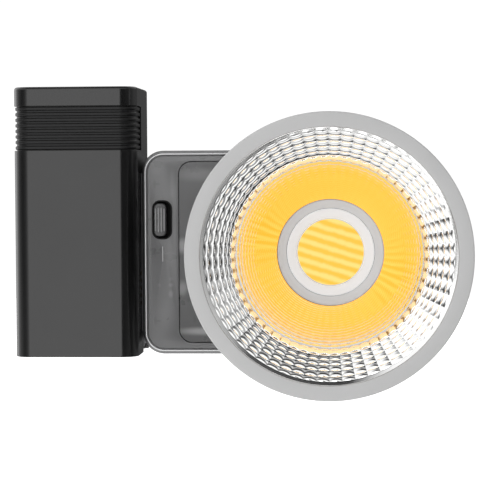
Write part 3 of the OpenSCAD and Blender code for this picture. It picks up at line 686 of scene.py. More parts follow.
def reflector_bowl():
    cols, sub = 60, 6
    outer = [51.3, 49.3, 46.9, 44.7, 42.8, 41.0, 39.3, 37.8, 36.6, 35.4]
    rows = list(reversed(outer))
    r = 35.4
    inner = [r]
    while r > 23.6:
        r -= 0.0305 * r
        inner.append(max(r, 22.9))
    if inner[-1] > 22.9:
        inner[-1] = 22.9
    rows = list(reversed(inner))[:-1] + rows
    # radius of each facet's pillow: nearly flat below, rounder in the flare
    def soft(r, t):
        if r < 31:
            return 220.0, 220.0
        if r < 36.8:
            return 90.0, 110.0
        if r < 39.5:
            return 40.0, 60.0
        if r < 40.5:
            return 20.0, 32.0
        left = max(0.0, -math.cos(t + 0.15)) ** 2
        return 12.0 + 16.0 * left, 23.0

    nr = len(rows) - 1
    W, H = cols * sub, nr * sub + 1
    grid = []
    for jj in range(H):
        j, v = min(jj // sub, nr - 1), (jj - min(jj // sub, nr - 1) * sub) / sub
        ra, rb = rows[j], rows[j + 1]
        ha, hb = bowl_h(ra), bowl_h(rb)
        wv = math.hypot(rb - ra, hb - ha)
        for ii in range(W):
            i, u = ii // sub, (ii % sub) / sub
            t0, t1 = 2 * math.pi * i / cols, 2 * math.pi * (i + 1) / cols
            wu = (ra + rb) / 2 * (t1 - t0)
            A = [Vector((ra * math.cos(t), -ha, ra * math.sin(t))) for t in (t0, t1)]
            B = [Vector((rb * math.cos(t), -hb, rb * math.sin(t))) for t in (t0, t1)]
            p = (A[0] * (1 - u) + A[1] * u) * (1 - v) + (B[0] * (1 - u) + B[1] * u) * v
            e1, e2 = (A[1] - A[0]), (B[0] - A[0])
            nrm = e1.cross(e2).normalized()
            inward = Vector((-p.x, 0, -p.z))
            if nrm.dot(inward) < 0:
                nrm = -nrm
            # a round pillow that meets its neighbours along straight edges
            ru, rv = soft((ra + rb) / 2, (t0 + t1) / 2)
            sag = wu * wu * (1 - (2 * u - 1) ** 2) * (1 - abs(2 * v - 1) ** 6) / (8 * ru) + wv * wv * (1 - (2 * v - 1) ** 2) * (1 - abs(2 * u - 1) ** 6) / (8 * rv)
            p = p + nrm * sag
            grid.append((AX + p.x, LED_Y + p.y, AZ + p.z))
    verts, faces = list(grid), []
    for jj in range(H - 1):
        for ii in range(W):
            k = (ii + 1) % W
            faces.append((jj * W + ii, (jj + 1) * W + ii, (jj + 1) * W + k, jj * W + k))
    # smooth lip, mouth edge and the wall's back
    tail = [(LIP + (MOUTH - LIP) * k / 6, bowl_h(LIP + (MOUTH - LIP) * k / 6)) for k in range(1, 7)]
    back = [(MOUTH + 1.2, 42.6)] + [(q + 1.3, bowl_h(q) - 0.35) for q in (51.5, 49, 46, 43, 40.5, 38, 35, 32, 29, 26, 24)] + [(24.2, 4.9), (23.7, 3.72), (22.87, 3.72)]
    base = (H - 1) * W
    for (rr, hh) in tail + back:
        for ii in range(W):
            i, u = ii // sub, (ii % sub) / sub
            t0, t1 = 2 * math.pi * i / cols, 2 * math.pi * (i + 1) / cols
            t = t0 + (t1 - t0) * u
            verts.append((AX + rr * math.cos(t), LED_Y - hh, AZ + rr * math.sin(t)))
        for ii in range(W):
            k = (ii + 1) % W
            nb = len(verts) - W
            faces.append((base + ii, nb + ii, nb + k, base + k))
        base = len(verts) - W
    for ii in range(W):
        k = (ii + 1) % W
        faces.append((base + ii, ii, k, base + k))
    me = bpy.data.meshes.new("faceted_bowl")
    me.from_pydata([tuple(c * MM for c in v) for v in verts], [], faces)
    ob = bpy.data.objects.new("faceted_bowl", me)
    bpy.context.scene.collection.objects.link(ob)
    bm = bmesh.new()
    bm.from_mesh(me)
    bm.verts.ensure_lookup_table()
    bmesh.ops.recalc_face_normals(bm, faces=bm.faces)
    for f in bm.faces:
        f.smooth = True
    NG = W * H
    for e in bm.edges:
        a, b = e.verts[0].index, e.verts[1].index
        if a < NG and b < NG:
            ja, jb, ia, ib = a // W, b // W, a % W, b % W
            if ja == jb and ja % sub == 0:
                e.smooth = False
            if ia == ib and ia % sub == 0:
                e.smooth = False
        elif len(e.link_faces) == 2 and e.calc_face_angle(0) > math.radians(35):
            e.smooth = False
    bm.to_mesh(me)
    bm.free()
    paint(ob, "mirror")
    return put(ob, "reflector", "bowl_mirror", "reflector_bowl")


def reflector():
    reflector_bowl()
    f, b = RY0, RY1
    mi = MOUTH + 0.05
    prof = rounded([(mi, f + 0.45), (mi + 0.35, f), (RIM_R - 0.05, f), (RIM_R, b), (RIM_R - 1.3, b), (RIM_R - 1.3, f + 1.85), (mi + 1.5, f + 1.85), (mi + 1.5, f + 0.6)],
                   [0.12, 0.25, 0.7, 0.25, 0.2, 0.0, 0.0, 0.1], 4)
    ob = lathe_y("reflector_rim_ring", AX, AZ, prof, 192)
    paint(ob, "rim")
    put(ob, "reflector", "rim_silver", "reflector_rim")
    # outer shell, narrowing from the rim toward the back
    (sx0, sy0, sz0), (sx1, sy1, sz1) = nbox("reflector_shell")
    outer = [(RIM_R - 1.5, f + 2.1), (RIM_R - 1.5, f + 4.2), (54.6, f + 6.0), (51.0, f + 7.4), (46.6, f + 10.6), (43.7, f + 14.0), (41.6, f + 17.0), (38.6, f + 21.6), (34.9, f + 27.6), (33, f + 31.6), (33, sy1)]
    inner = [(24.5, sy1), (24.6, sy1 - 0.3)] + [(q + 1.55, LED_Y - bowl_h(q) + 0.55) for q in (24, 27, 30, 33, 36, 38.5, 41, 44, 47, 50, 52)]
    prof = outer + inner + [(MOUTH + 1.7, f + 2.1)]
    ob = lathe_y("reflector_outer_shell", AX, AZ, prof, 144)
    paint(ob, "shell")
    put(ob, "reflector", "dark_shell", "reflector_shell")


reflector()


# ------------------------------------------------------------------ light source and rings
def light_source():
    y = PY0
    prof = [(0.0001, y + 0.02), (6, y + 0.03), (11, y + 0.05), (13.4, y + 0.1), (14.0, y + 0.22), (14.18, y + 0.45), (14.2, PY1), (0.0001, PY1)]
    ob = lathe_y("light_source_gel_disc", AX, AZ, prof, 96)
    paint(ob, "gel")
    put(ob, "lamp_head", "phosphor", "cob_phosphor")
    (a0, b0, c0), (a1, b1, c1) = nbox("cob_holder")
    r0, r1 = 14.6, (a1 - a0) / 2 - 0.14
    prof = rounded([(r0, b1), (r0, b1 - 0.75), (r0 + 0.8, b1 - 1.15), (r1 - 0.6, b0 + 0.05), (r1, b0 + 0.25), (r1, b1)], [0, 0.15, 0.3, 0.3, 0.2, 0], 3)
    ob = lathe_y("source_holder_ring", AX, AZ, prof, 128)
    paint(ob, "white")
    put(ob, "lamp_head", "white_holder", "cob_holder")
    (a0, b0, c0), (a1, b1, c1) = nbox("cob_retainer")
    r1 = (a1 - a0) / 2
    prof = rounded([(19.0, b1 - 2.6), (19.0, b1 - 4.8), (19.35, b1 - 5.05), (20.4, b1 - 5.5), (22.0, b0 + 0.1), (r1, b0), (r1, b1), (21.6, b1), (21.6, b1 - 2.6)], [0, 0.12, 0.1, 0.3, 0.2, 0.12, 0, 0, 0], 3)
    ob = lathe_y("source_retainer_ring", AX, AZ, prof, 144)
    paint(ob, "ring")
    put(ob, "lamp_head", "cast_ring", "cob_retainer")


light_source()


# ------------------------------------------------------------------ lamp head
def housing():
    # outer skin with a small front roundover and a fuller back one, hollow inside
    fr, bk = 0.95, 2.2
    secs = []
    n = 12
    prof = []
    for i in range(5):
        t = math.pi / 2 * i / 4
        prof.append((fr * (1 - math.sin(t)), HY0 + fr * (1 - math.cos(t))))
    for i in range(9):
        t = math.pi / 2 * i / 8
        prof.append((bk * (1 - math.cos(t)), HY1 - bk + bk * math.sin(t)))
    for ins, y in prof:
        r = HR - ins if ins < HR else 0.1
        secs.append([(HCX + x, y, HCZ + z) for x, z in rr_pts(HW - 2 * ins, HH - 2 * ins, r, n)])
    ob = new_piece("housing_shell", *loft(secs), angle=30)
    wall = 2.2
    cut = [slab_y("c", HCX, HCZ, HW - 2 * wall, HH - 2 * wall, HR - wall, HY0 - 1, HY1 - wall, n=12),
           slab_y("c", HCX, HCZ, HW - 2.2, HH - 2.2, HR - 1.1, HY0 - 1, HY0 + 0.4, n=12)]
    for k in range(11):
        cut.append(slab_z("c", AX - 21 + 4.2 * k, -6, 2.2, 15, 1.05, HZ1 - 4, HZ1 + 1))
        if k >= 3:
            cut.append(slab_z("c", AX - 21 + 4.2 * k, -6, 2.2, 15, 1.05, HZ0 - 1, HZ0 + 4))
    for k in range(6):
        cut.append(slab_x("c", -6, 18 + 4.2 * k, 15, 2.2, 1.05, HX1 - 4, HX1 + 1))
    cut.append(slab_x("c", 10, 64, 4.2, 10.4, 1.2, HX1 - 4, HX1 + 1))
    cut.append(slab_x("c", -4.5, 43.5, 15.2, 56.2, 2, HX0 - 1, HX0 + wall + 0.5))
    cut.append(box_piece("c", HX0 - 1, HX0 + wall + 0.5, -17.9, -14.5, 54.6, 62))
    for i in range(5):
        cut.append(cyl_x("c", -16.5, 22 + 3.2 * i, 0.95, HX0 - 1, HX0 + wall + 0.5, 20))
    for c in ((-53.5, 7), (-53.5, 81), (53.5, 7), (53.5, 81)):
        cut.append(lathe_y("c", c[0], c[1], [(0.0001, HY1 - 3), (2.9, HY1 - 3), (2.9, HY1 + 1), (0.0001, HY1 + 1)], 32))
    cut.append(cyl_z("c", 0, 0, 5.05, HZ0 - 1, HZ0 + wall + 0.5, 48))
    cut.append(cyl_z("c", -30, 6, 3.95, HZ0 - 1, HZ0 + wall + 0.5, 40))
    cut.append(slab_z("c", -44, 6, 9.5, 3.7, 1.8, HZ0 - 1, HZ0 + wall + 0.5))
    cut.append(lathe_y("c", AX, AZ, [(0.0001, HY1 - wall - 1), (28.6, HY1 - wall - 1), (28.6, HY1 + 1), (0.0001, HY1 + 1)], 96))
    cut.append(slab_y("c", -38, AZ, 27.4, 15.4, 1.8, HY1 - wall - 1, HY1 + 1))
    for z in (66, 22):
        cut.append(lathe_y("c", -38, z, [(0.0001, HY1 - wall - 1), (3.3, HY1 - wall - 1), (3.3, HY1 + 1), (0.0001, HY1 + 1)], 32))
    boolean(ob, cut)
    bevel(ob, 0.16, 2, 50)
    rib = slab_x("rib", HY0 + 1.2, 44, 1.0, 68.4, 0.3, HX0 - 0.5, HX0 + 0.6, n=4)
    ob = flat(join("housing_shell", [ob, rib]))
    paint(ob, "body")
    return put(ob, "lamp_head", "dark_shell", "rear_housing")


def cyl_x(name, y, z, r, x0, x1, n=24):
    secs = [[(x, y + r * math.cos(2 * math.pi * i / n), z + r * math.sin(2 * math.pi * i / n)) for i in range(n)] for x in (x0, x1)]
    return new_piece(name, *loft(secs), angle=30)


def cyl_z(name, x, y, r, z0, z1, n=32):
    secs = [[(x + r * math.cos(2 * math.pi * i / n), y + r * math.sin(2 * math.pi * i / n), z) for i in range(n)] for z in (z0, z1)]
    return new_piece(name, *loft(secs), angle=30)


housing()


def frame_ring(name, w0, h0, r0, w1, h1, r1, prof, cx=None, cz=None, n=14):
    """A frame between two rounded rectangles; prof is [(t, y)] with t from 0, outer, to 1, inner, as a closed loop."""
    cx = HCX if cx is None else cx
    cz = HCZ if cz is None else cz
    a, b = rr_pts(w0, h0, r0, n), rr_pts(w1, h1, r1, n)
    verts, faces = [], []
    m = len(prof)
    for (ax, az), (bx, bz) in zip(a, b):
        for t, y in prof:
            verts.append((cx + ax + (bx - ax) * t, y, cz + az + (bz - az) * t))
    N = len(a)
    for i in range(N):
        k = (i + 1) % N
        for j in range(m):
            l = (j + 1) % m
            faces.append((i * m + j, i * m + l, k * m + l, k * m + j))
    return new_piece(name, verts, faces, angle=30)


def trim():
    w, h = TX1 - TX0, TZ1 - TZ0
    tw = 0.8
    r = HR - 1.1
    prof = rounded([(0, TY1), (0.0, TY0 + 0.16), (0.2, TY0), (0.8, TY0), (1.0, TY0 + 0.2), (1.0, TY1)], [0, 0.06, 0.08, 0.08, 0.06, 0], 3)
    ob = frame_ring("bright_trim", w, h, r, w - 2 * tw, h - 2 * tw, r - tw, prof)
    paint(ob, "trim")
    return put(ob, "lamp_head", "trim_silver", "trim_bezel")


trim()


def cover():
    (x0, y0, z0), (x1, y1, z1) = nbox("front_cover")
    w, h = x1 - x0, z1 - z0
    (px0, py0, pz0), (px1, py1, pz1) = nbox("mount_panel")
    pcx, pcz, pw, ph = (px0 + px1) / 2, (pz0 + pz1) / 2, px1 - px0, pz1 - pz0
    (sx0, sy0, sz0), (sx1, sy1, sz1) = nbox("slider_surround")
    scx, scz = (sx0 + sx1) / 2, (sz0 + sz1) / 2
    back = y0 + 1.8
    ob = slab_y("smoke_front_cover", HCX, HCZ, w, h, HR - 2.3, y0, back, 0.35, 0.0, n=12)
    cut = [slab_y("c", pcx, pcz, pw + 0.5, ph + 0.5, 5.85, y0 - 1, back + 1, n=12),
           slab_y("c", scx, scz, 8.6, 16.8, 3.5, y0 - 1, back + 1),
           box_piece("c", scx - 0.05, scx + 0.35, y0 - 1, y0 + 0.35, 40, 46.6)]
    boolean(ob, cut)
    bevel(ob, 0.16, 2, 50)
    hooks = [box_piece("k", HX0 + 4.6, HX0 + 7.2, back - 0.05, back + 2.6, z - 1.6, z + 1.6) for z in (14, 43, 74)]
    ob = join("smoke_front_cover", [ob] + hooks)
    paint(ob, "cover")
    put(ob, "lamp_head", "smoke_cover", "front_cover")
    ob = slab_y("index_line_inlay", scx + 0.15, 43.3, 0.44, 6.5, 0.2, y0 - 0.02, y0 + 0.3, 0.08, 0.0, n=4)
    paint(ob, "inlay")
    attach(ob, "lamp_head")
    ob = slab_y("smoke_inset_panel", pcx, pcz, pw, ph, 5.6, py0, py0 + 1.6, 0.3, 0.0, n=12)
    cut = [lathe_y("c", AX, AZ, [(0.0001, py0 - 1), (27.3, py0 - 1), (27.3, py0 + 3), (0.0001, py0 + 3)], 96)]
    boolean(ob, cut)
    bevel(ob, 0.12, 2, 50)
    paint(ob, "panel")
    put(ob, "lamp_head", "smoke_panel", "mount_panel")
    # black surround of the unlock slider
    f, bb = sy0, sy1
    prof = rounded([(0, y0 + 0.05), (0.3, f), (0.85, f + 0.02), (1.0, f + 0.3), (1.0, bb), (0.36, bb), (0.36, y0 + 0.05)], [0.08, 0.12, 0.1, 0.1, 0, 0, 0], 3)
    ob = frame_ring("slider_lip", 8.9, 17.1, 3.65, 7.5, 15.8, 2.95, prof, scx, scz, 10)
    floor_ = slab_y("slider_well", scx, scz, 9.8, 18.0, 4.1, f + 2.1, f + 2.6, n=10)
    cutp = slab_y("c", scx, scz, 7.5, 15.8, 2.95, f, bb + 1, n=10)
    boolean(floor_, [cutp])
    ob = join("slider_surround_ring", [ob, floor_])
    paint(ob, "lip")
    put(ob, "lamp_head", "gloss_black", "slider_surround")


cover()


def slider():
    (sx0, sy0, sz0), (sx1, sy1, sz1) = nbox("unlock_slider")
    scx, scz = -53.8 - 0.9, 58.1
    front = sy0 + 0.38
    ob = slab_y("slider_button", scx, scz, 5.4, 14.2, 2.1, front, -18.6, 0.55, 0.0, n=10)
    parts = [ob]
    for k in (-1.5, -0.5, 0.5, 1.5):
        secs = []
        hw = 0.42
        half = 6.2 - abs(k) * 0.5
        for i in range(13):
            t = -1 + 2 * i / 12
            zz = scz + half * t
            e = math.sqrt(max(0.0, 1 - max(0.0, (abs(t) * half - (half - 0.5)) / 0.5) ** 2))
            ring = []
            for j in range(9):
                a = math.pi * j / 8
                ring.append((scx + 1.25 * k + hw * math.cos(a) * max(e, 0.05), front + 0.02 - 0.36 * math.sin(a) * max(e, 0.02), zz))
            ring.append((scx + 1.25 * k - hw * max(e, 0.05), front + 0.4, zz))
            ring.append((scx + 1.25 * k + hw * max(e, 0.05), front + 0.4, zz))
            secs.append(ring)
        parts.append(new_piece("r", *loft(secs), angle=50))
    plates = [box_piece("p", HX0 + 2.5, -48.6, -18.8, -17.6, 49.2, 67),
              box_piece("p", -49.7, -48.6, -17.7, -14.2, 55.4, 60.6),
              box_piece("p", HX0 + 2.5, HX0 + 3.4, -17.7, -14.9, 61.9, 64.9)]
    ob = join("unlock_slider_button", parts, 40)
    paint(ob, "slider")
    put(ob, "unlock_slide", "slider_grey", "unlock_slider")
    ob = join("unlock_slider_plate", plates, 40)
    paint(ob, "well")
    put(ob, "unlock_slide", "gloss_black", "unlock_slider")


slider()


def spring():
    """The slider's return spring."""
    (a0, b0, c0), (a1, b1, c1) = nbox("slider_spring")
    cy, cz, wire = (b0 + b1) / 2, (c0 + c1) / 2, 0.24
    R = (c1 - c0) / 2 - wire
    steps, turns = 168, 6
    path = []
    for i in range(steps + 1):
        t = i / steps
        path.append(Vector((a0 + wire + (a1 - a0 - 2 * wire) * t, cy + R * math.cos(2 * math.pi * turns * t), cz + R * math.sin(2 * math.pi * turns * t))))
    secs = []
    for i, p in enumerate(path):
        d = (path[min(i + 1, steps)] - path[max(i - 1, 0)]).normalized()
        n1 = Vector((0, p.y - cy, p.z - cz)).normalized()
        n2 = d.cross(n1).normalized()
        n1 = n2.cross(d)
        secs.append([tuple(p + n1 * (wire * math.cos(2 * math.pi * k / 10)) + n2 * (wire * math.sin(2 * math.pi * k / 10))) for k in range(10)])
    ob = new_piece("slider_coil_spring", *loft(secs), angle=50)
    paint(ob, "steel")
    put(ob, "lamp_head", "steel_part", "slider_spring")
    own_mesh(ob)


spring()


def dials():
    """Pointer marks on the dials, a ring of ticks round each, and plain bars on the display."""
    for node, body in (("brightness_knob", "brightness_dial"), ("cct_knob", "cct_dial")):
        (a0, b0, c0), (a1, b1, c1) = nbox(node)
        kx, kz = (a0 + a1) / 2, (c0 + c1) / 2
        mark = slab_y(node + "_pointer", kx, kz + 5.1, 0.9, 4.4, 0.4, b1 - 0.3, b1 + 0.06, 0.0, 0.06, n=4)
        paint(mark, "inlay")
        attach(mark, body)
        cap = lathe_y(node + "_cap_ring", kx, kz, rounded([(6.1, b1 - 0.2), (6.1, b1 + 0.04), (6.45, b1 + 0.04), (6.45, b1 - 0.2)], 0.06, 2), 72)
        paint(cap, "collar")
        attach(cap, body)
        ticks = []
        for k in range(-5, 6):
            t = math.radians(90 + 27 * k)
            u, v = Vector((math.cos(t), 0, math.sin(t))), Vector((-math.sin(t), 0, math.cos(t)))
            r0, r1, w = 9.7, 10.6 if k % 5 else 11.1, 0.16
            secs = []
            for y in (HY1 - 0.1, HY1 + 0.04):
                secs.append([tuple(Vector((kx, y, kz)) + u * r + v * q) for r, q in ((r0, -w), (r1, -w), (r1, w), (r0, w))])
            ticks.append(new_piece("t", *loft(secs)))
        ob = join(node + "_ticks", ticks)
        paint(ob, "inlay")
        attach(ob, "lamp_head")
    (a0, b0, c0), (a1, b1, c1) = nbox("display_window")
    dx, dz = (a0 + a1) / 2, (c0 + c1) / 2
    bars = []
    for row, fill in ((3.0, 16), (-3.0, 9)):
        for i in range(16):
            h = 2.6 if i < fill else 0.5
            bars.append(slab_y("b", dx - 9.0 + 1.2 * i, dz + row - 1.3 + h / 2, 0.7, h, 0.2, b1 - 0.1, b1 + 0.02, n=3))
    ob = join("display_bars", bars)
    paint(ob, "bars")
    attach(ob, "lamp_head")


dials()


# ------------------------------------------------------------------ battery grip
def grip_outline(ins=0.0, n=12):
    """Seen from above, anticlockwise from the right front corner's start."""
    a, b = 7 - ins, 4 - ins
    x0, x1, y0, y1 = GX0 + ins, GX1 - ins, GY0 + ins, GY1 - ins
    out = []
    for (cx, cy, r, s) in ((x1 - b, y1 - b, b, 0), (x0 + b, y1 - b, b, 1), (x0 + a, y0 + a, a, 2), (x1 - a, y0 + a, a, 3)):
        for i in range(n + 1):
            t = math.pi / 2 * (s + i / n)
            out.append((cx + r * math.cos(t), cy + r * math.sin(t)))
    return out


BAND0, BAND1 = 88.2, 107.2
BAND_END = GY0 + 20.5


def grip_body():
    top = GZ1
    prof = [(0.0, GZ0)]
    ft = 1.3
    for i in range(7):
        t = math.pi / 2 * i / 6
        prof.append((ft * (1 - math.cos(t)), top - ft + ft * math.sin(t)))
    secs = [[(x, y, z) for x, y in grip_outline(ins)] for ins, z in prof]
    ob = new_piece("grip_body", *loft(secs), angle=30)
    # hollow
    inner = [[(x, y, z) for x, y in grip_outline(2.4)] for z in (GZ0 - 1, top - 2.4)]
    cut = [new_piece("c", *loft(inner), angle=30)]
    cut.append(new_piece("c", *loft([[(x, y, z) for x, y in grip_outline(1.1)] for z in (GZ0 - 1, GZ0 + 2.5)]), angle=30))
    # recess for the finger band
    ring_out = [[(x, y, z) for x, y in grip_outline(-3)] for z in (BAND0, BAND1)]
    r_out = new_piece("c", *loft(ring_out), angle=30)
    r_in = new_piece("c", *loft([[(x, y, z) for x, y in grip_outline(1.6)] for z in (BAND0 - 1, BAND1 + 1)]), angle=30)
    keep = box_piece("c", GX0 - 6, GX1 + 6, BAND_END, GY1 + 6, BAND0 - 2, BAND1 + 2)
    boolean(r_out, [r_in, keep])
    cut.append(r_out)
    cut.append(slab_y("c", (GX0 + GX1) / 2, 58, 41.2, 104.2, 3.1, GY1 - 4, GY1 + 1, n=8))
    cut.append(box_piece("c", GX1 - 7.2, GX1 + 1, -4.5 - 8.8, -4.5 + 8.8, GZ0 - 1, 72.7))
    cut.append(box_piece("c", GX1 - 2.6, GX1 + 1, -17.9, -14.4, 55.8, 61))
    cut.append(box_piece("c", GX1 - 3, GX1 + 1, -18.4, -14.6, 19.8, 37))
    boolean(ob, cut)
    bevel(ob, 0.3, 3, 50)
    flat(ob)
    paint(ob, "grip")
    put(ob, "grip", "grip_black", "grip_shell")


grip_body()


def finger_band():
    """Ribs that run round both sides and the front."""
    ribs = 8
    pitch = (BAND1 - BAND0) / ribs
    zs = []
    # rib section: soft square ribs with rounded edges, grooves between
    for k in range(ribs):
        zc = BAND0 + pitch * (k + 0.5)
        hw = 0.72
        for dz, ins in ((-pitch / 2 + 0.02, 1.02), (-hw - 0.12, 1.02), (-hw - 0.03, 0.92), (-hw, 0.78), (-hw + 0.06, 0.58), (-hw + 0.2, 0.44), (-hw + 0.42, 0.4),
                        (hw - 0.42, 0.4), (hw - 0.2, 0.44), (hw - 0.06, 0.58), (hw, 0.78), (hw + 0.03, 0.92), (hw + 0.12, 1.02), (pitch / 2 - 0.02, 1.02)):
            zs.append((max(BAND0 + 0.08, min(BAND1 - 0.08, zc + dz)), ins))
    end = BAND_END - 0.12

    def path(ins, n=12):
        a = 7 - ins
        x0, x1, y0 = GX0 + ins, GX1 - ins, GY0 + ins
        out = [(x1, end)]
        m = 4
        for i in range(1, m):
            out.append((x1, end + (y0 + a - end) * i / m))
        for i in range(n + 1):
            t = -math.pi / 2 * i / n
            out.append((x1 - a + a * math.cos(t), y0 + a + a * math.sin(t)))
        for i in range(1, 6):
            out.append((x1 - a + (x0 + a - x1 + a) * i / 6, y0))
        for i in range(n + 1):
            t = -math.pi / 2 - math.pi / 2 * i / n
            out.append((x0 + a + a * math.cos(t), y0 + a + a * math.sin(t)))
        for i in range(1, m):
            out.append((x0, y0 + a + (end - y0 - a) * i / m))
        out.append((x0, end))
        return out

    secs = [[(x, y, z) for x, y in path(ins)] for z, ins in zs]
    back = [[(x, y, z) for x, y in path(1.55)] for z in (BAND1 - 0.08, BAND0 + 0.08)]
    secs = secs + back
    n = len(secs[0])
    verts = [p for s in secs for p in s]
    faces = []
    S = len(secs)
    for j in range(S):
        l = (j + 1) % S
        for i in range(n - 1):
            faces.append((j * n + i, j * n + i + 1, l * n + i + 1, l * n + i))
    faces.append(tuple(j * n for j in range(S)))
    faces.append(tuple(j * n + n - 1 for j in range(S - 1, -1, -1)))
    ob = new_piece("finger_band", verts, faces, angle=40)
    paint(ob, "ribs")
    put(ob, "grip", "rib_rubber", "grip_ribbed_insert")


finger_band()

# ------------------------------------------------------------------ world, floor
def sky():
    """Soft studio round the object: a front card, dark flags beside it, a wide light on the left, grey on the right."""
    w = bpy.data.worlds.new("studio")
    bpy.context.scene.world = w
    w.use_nodes = True
    t = w.node_tree
    t.nodes.clear()
    out = t.nodes.new("ShaderNodeOutputWorld")
    N = Nodes.__new__(Nodes)
    N.t = t
    co = t.nodes.new("ShaderNodeTexCoord").outputs["Generated"]
    sep = t.nodes.new("ShaderNodeSeparateXYZ")
    t.links.new(co, sep.inputs[0])
    x, y, z = sep.outputs
    deg = 180 / math.pi
    az = N.math("MULTIPLY", N.math("ARCTAN2", x, N.math("MULTIPLY", y, -1.0)), deg)
    el = N.math("MULTIPLY", N.math("ARCSINE", z), deg)
    th = N.math("MULTIPLY", N.math("ARCCOSINE", N.math("MULTIPLY", y, -1.0)), deg)
    ph = N.math("MULTIPLY", N.math("ARCTAN2", z, x), deg)

    def band(v, a, b, soft):
        up = N.remap(v, a - soft / 2, a + soft / 2, 0, 1)
        dn = N.remap(v, b - soft / 2, b + soft / 2, 1, 0)
        return N.math("MULTIPLY", up, dn)

    # level round the clock, for directions well off the axis: 0 right, 0.25 up, 0.5 left, 0.75 down
    turn = N.remap(ph, -180, 180, 0.0, 1.0)
    side = N.ramp(turn, [(p, (v, v, v)) for p, v in ROUND])
    ringy = N.ramp(turn, [(p, (v, v, v)) for p, v in DEPTH])
    dark = band(th, RING[0], RING[1], RING[2])
    level = N.math("MULTIPLY", side, N.math("SUBTRACT", 1.0, N.math("MULTIPLY", dark, ringy)))
    glow = band(th, GLOW[0], GLOW[1], GLOW[2])
    fade = N.ramp(turn, [(p, (v, v, v)) for p, v in FADE])
    level = N.math("MAXIMUM", level, N.math("MULTIPLY", N.math("MULTIPLY", glow, fade), GLOW[3]))
    # in front: light above and below, a strip of dark flags at the object's height, and one card in it
    wide = N.remap(th, OPEN[0], OPEN[1], 1, 0)
    level = N.math("ADD", N.math("MULTIPLY", level, N.math("SUBTRACT", 1.0, wide)), N.math("MULTIPLY", wide, OPEN[2]))
    # behind: darker, with one tall light behind on the left
    back = N.remap(th, 92, 100, 0, 1)
    above = N.remap(N.math("ABSOLUTE", el), 10, 24, 0, 0.95)
    rear = N.math("MULTIPLY", N.ramp(N.remap(az, -180, 180, 0, 1), [((a + 180) / 360, (v / 3,) * 3) for a, v in REAR]), 3.0)
    rear = N.math("MAXIMUM", rear, above)
    level = N.math("ADD", N.math("MULTIPLY", level, N.math("SUBTRACT", 1.0, back)), N.math("MULTIPLY", back, rear))
    # the strip at the object's height, taller in front than at the sides
    half = N.math("MULTIPLY", N.ramp(N.math("MULTIPLY", N.math("ABSOLUTE", N.math("ADD", az, 8.0)), 1 / 90), [(a / 90, (v / 30,) * 3) for a, v in HALF]), 30.0)
    inside = N.remap(N.math("SUBTRACT", N.math("ABSOLUTE", el), half), -5, 5, 1, 0)
    front = N.math("MULTIPLY", N.math("MULTIPLY", N.remap(az, FLAG[0] - 3, FLAG[0] + 3, 0, 1), N.remap(az, FLAG[1] - 4, FLAG[1] + 4, 1, 0)), inside)
    strip = N.math("MULTIPLY", N.ramp(N.remap(az, -90, 90, 0, 1), [((a + 90) / 180, (v / 3,) * 3) for a, v in STRIP]), 3.0)
    level = N.math("ADD", N.math("MULTIPLY", level, N.math("SUBTRACT", 1.0, front)), N.math("MULTIPLY", front, strip))
    bg = t.nodes.new("ShaderNodeBackground")
    t.links.new(level, bg.inputs["Strength"])
    bg.inputs["Color"].default_value = (1, 1, 1, 1)
    white = t.nodes.new("ShaderNodeBackground")
    white.inputs["Color"].default_value = (1, 1, 1, 1)
    white.inputs["Strength"].default_value = 1.05
    lp = t.nodes.new("ShaderNodeLightPath")
    mx = t.nodes.new("ShaderNodeMixShader")
    t.links.new(lp.outputs["Is Camera Ray"], mx.inputs[0])
    t.links.new(bg.outputs[0], mx.inputs[1])
    t.links.new(white.outputs[0], mx.inputs[2])
    t.links.new(mx.outputs[0], out.inputs[0])
    w.cycles.sampling_method = "MANUAL"
    w.cycles.sample_map_resolution = 1024


# positions run from left (0) through down (0.25), right (0.5), up (0.75) to left (1)
ROUND = [(0.0, 1.25), (0.10, 1.15), (0.20, 0.85), (0.28, 0.60), (0.34, 0.32), (0.45, 0.30), (0.50, 0.42), (0.57, 0.52), (0.61, 0.40), (0.64, 0.10), (0.78, 0.06), (0.84, 1.05), (1.0, 1.25)]
DEPTH = [(0.0, 0.1), (0.12, 0.35), (0.22, 0.85), (0.34, 0.98), (0.45, 0.90), (0.52, 0.50), (0.58, 0.2), (0.64, 0.5), (0.78, 0.7), (0.84, 0.2), (0.9, 0.0), (1.0, 0.1)]
FADE = [(0.0, 0.92), (0.20, 1.0), (0.60, 1.0), (0.65, 0.45), (0.78, 0.35), (0.83, 1.0), (1.0, 0.92)]
RING = (77.0, 84.0, 2.5)
GLOW = (69.5, 74.5, 1.5, 1.15)
OPEN = (46.0, 56.0, 1.15)
FLAG = (-88, 62)
HALF = [(0, 28), (9, 28), (15, 13), (45, 10), (66, 5), (90, 5)]
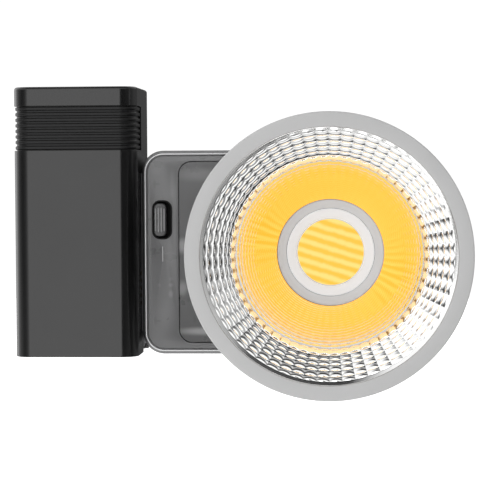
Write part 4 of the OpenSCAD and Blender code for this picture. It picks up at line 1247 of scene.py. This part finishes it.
STRIP = [(-90, 0.5), (-80, 0.20), (-68, 0.06), (-60, 0.04), (-46, 0.14), (-38, 0.24), (-31, 0.42), (-24, 0.78), (-17, 1.50), (-13, 2.45), (-2.0, 2.45), (1.0, 0.02), (90, 0.02)]
REAR = [(-180, 0.10), (-165, 0.20), (-150, 0.6), (-140, 1.0), (-128, 2.3), (-110, 2.1), (-100, 1.1), (-90, 0.5), (90, 0.4), (110, 0.5), (150, 0.15), (180, 0.10)]
sky()


def floor():
    s = 4000
    ob = new_piece("studio_floor", [(-s, -s, -250), (s, -s, -250), (s, s, -250), (-s, s, -250)], [(0, 1, 2, 3)])
    m = bpy.data.materials.new("floor_white")
    m.use_nodes = True
    t = m.node_tree
    b = t.nodes["Principled BSDF"]
    b.inputs["Base Color"].default_value = (0.9, 0.9, 0.9, 1)
    b.inputs["Roughness"].default_value = 0.9
    b.inputs["Emission Color"].default_value = (1, 1, 1, 1)
    b.inputs["Emission Strength"].default_value = 0.6
    g = t.nodes.new("ShaderNodeNewGeometry")
    lp = t.nodes.new("ShaderNodeLightPath")
    # seen only from above and only directly, so the studio light reaches the object from below too
    a = t.nodes.new("ShaderNodeMath")
    a.operation = "SUBTRACT"
    a.use_clamp = True
    t.links.new(lp.outputs["Is Camera Ray"], a.inputs[0])
    t.links.new(g.outputs["Backfacing"], a.inputs[1])
    tr = t.nodes.new("ShaderNodeBsdfTransparent")
    mx = t.nodes.new("ShaderNodeMixShader")
    t.links.new(a.outputs[0], mx.inputs[0])
    t.links.new(tr.outputs[0], mx.inputs[1])
    t.links.new(b.outputs[0], mx.inputs[2])
    t.links.new(mx.outputs[0], t.nodes["Material Output"].inputs[0])
    ob.data.materials.append(m)


floor()

sc = bpy.context.scene
sc.view_settings.view_transform = "Standard"
sc.view_settings.look = "None"
sc.view_settings.exposure = 0.0
sc.cycles.max_bounces = 10
sc.cycles.glossy_bounces = 6
sc.cycles.transparent_max_bounces = 12
sc.cycles.caustics_reflective = False
sc.cycles.caustics_refractive = False
sc.cycles.sample_clamp_indirect = 6.0
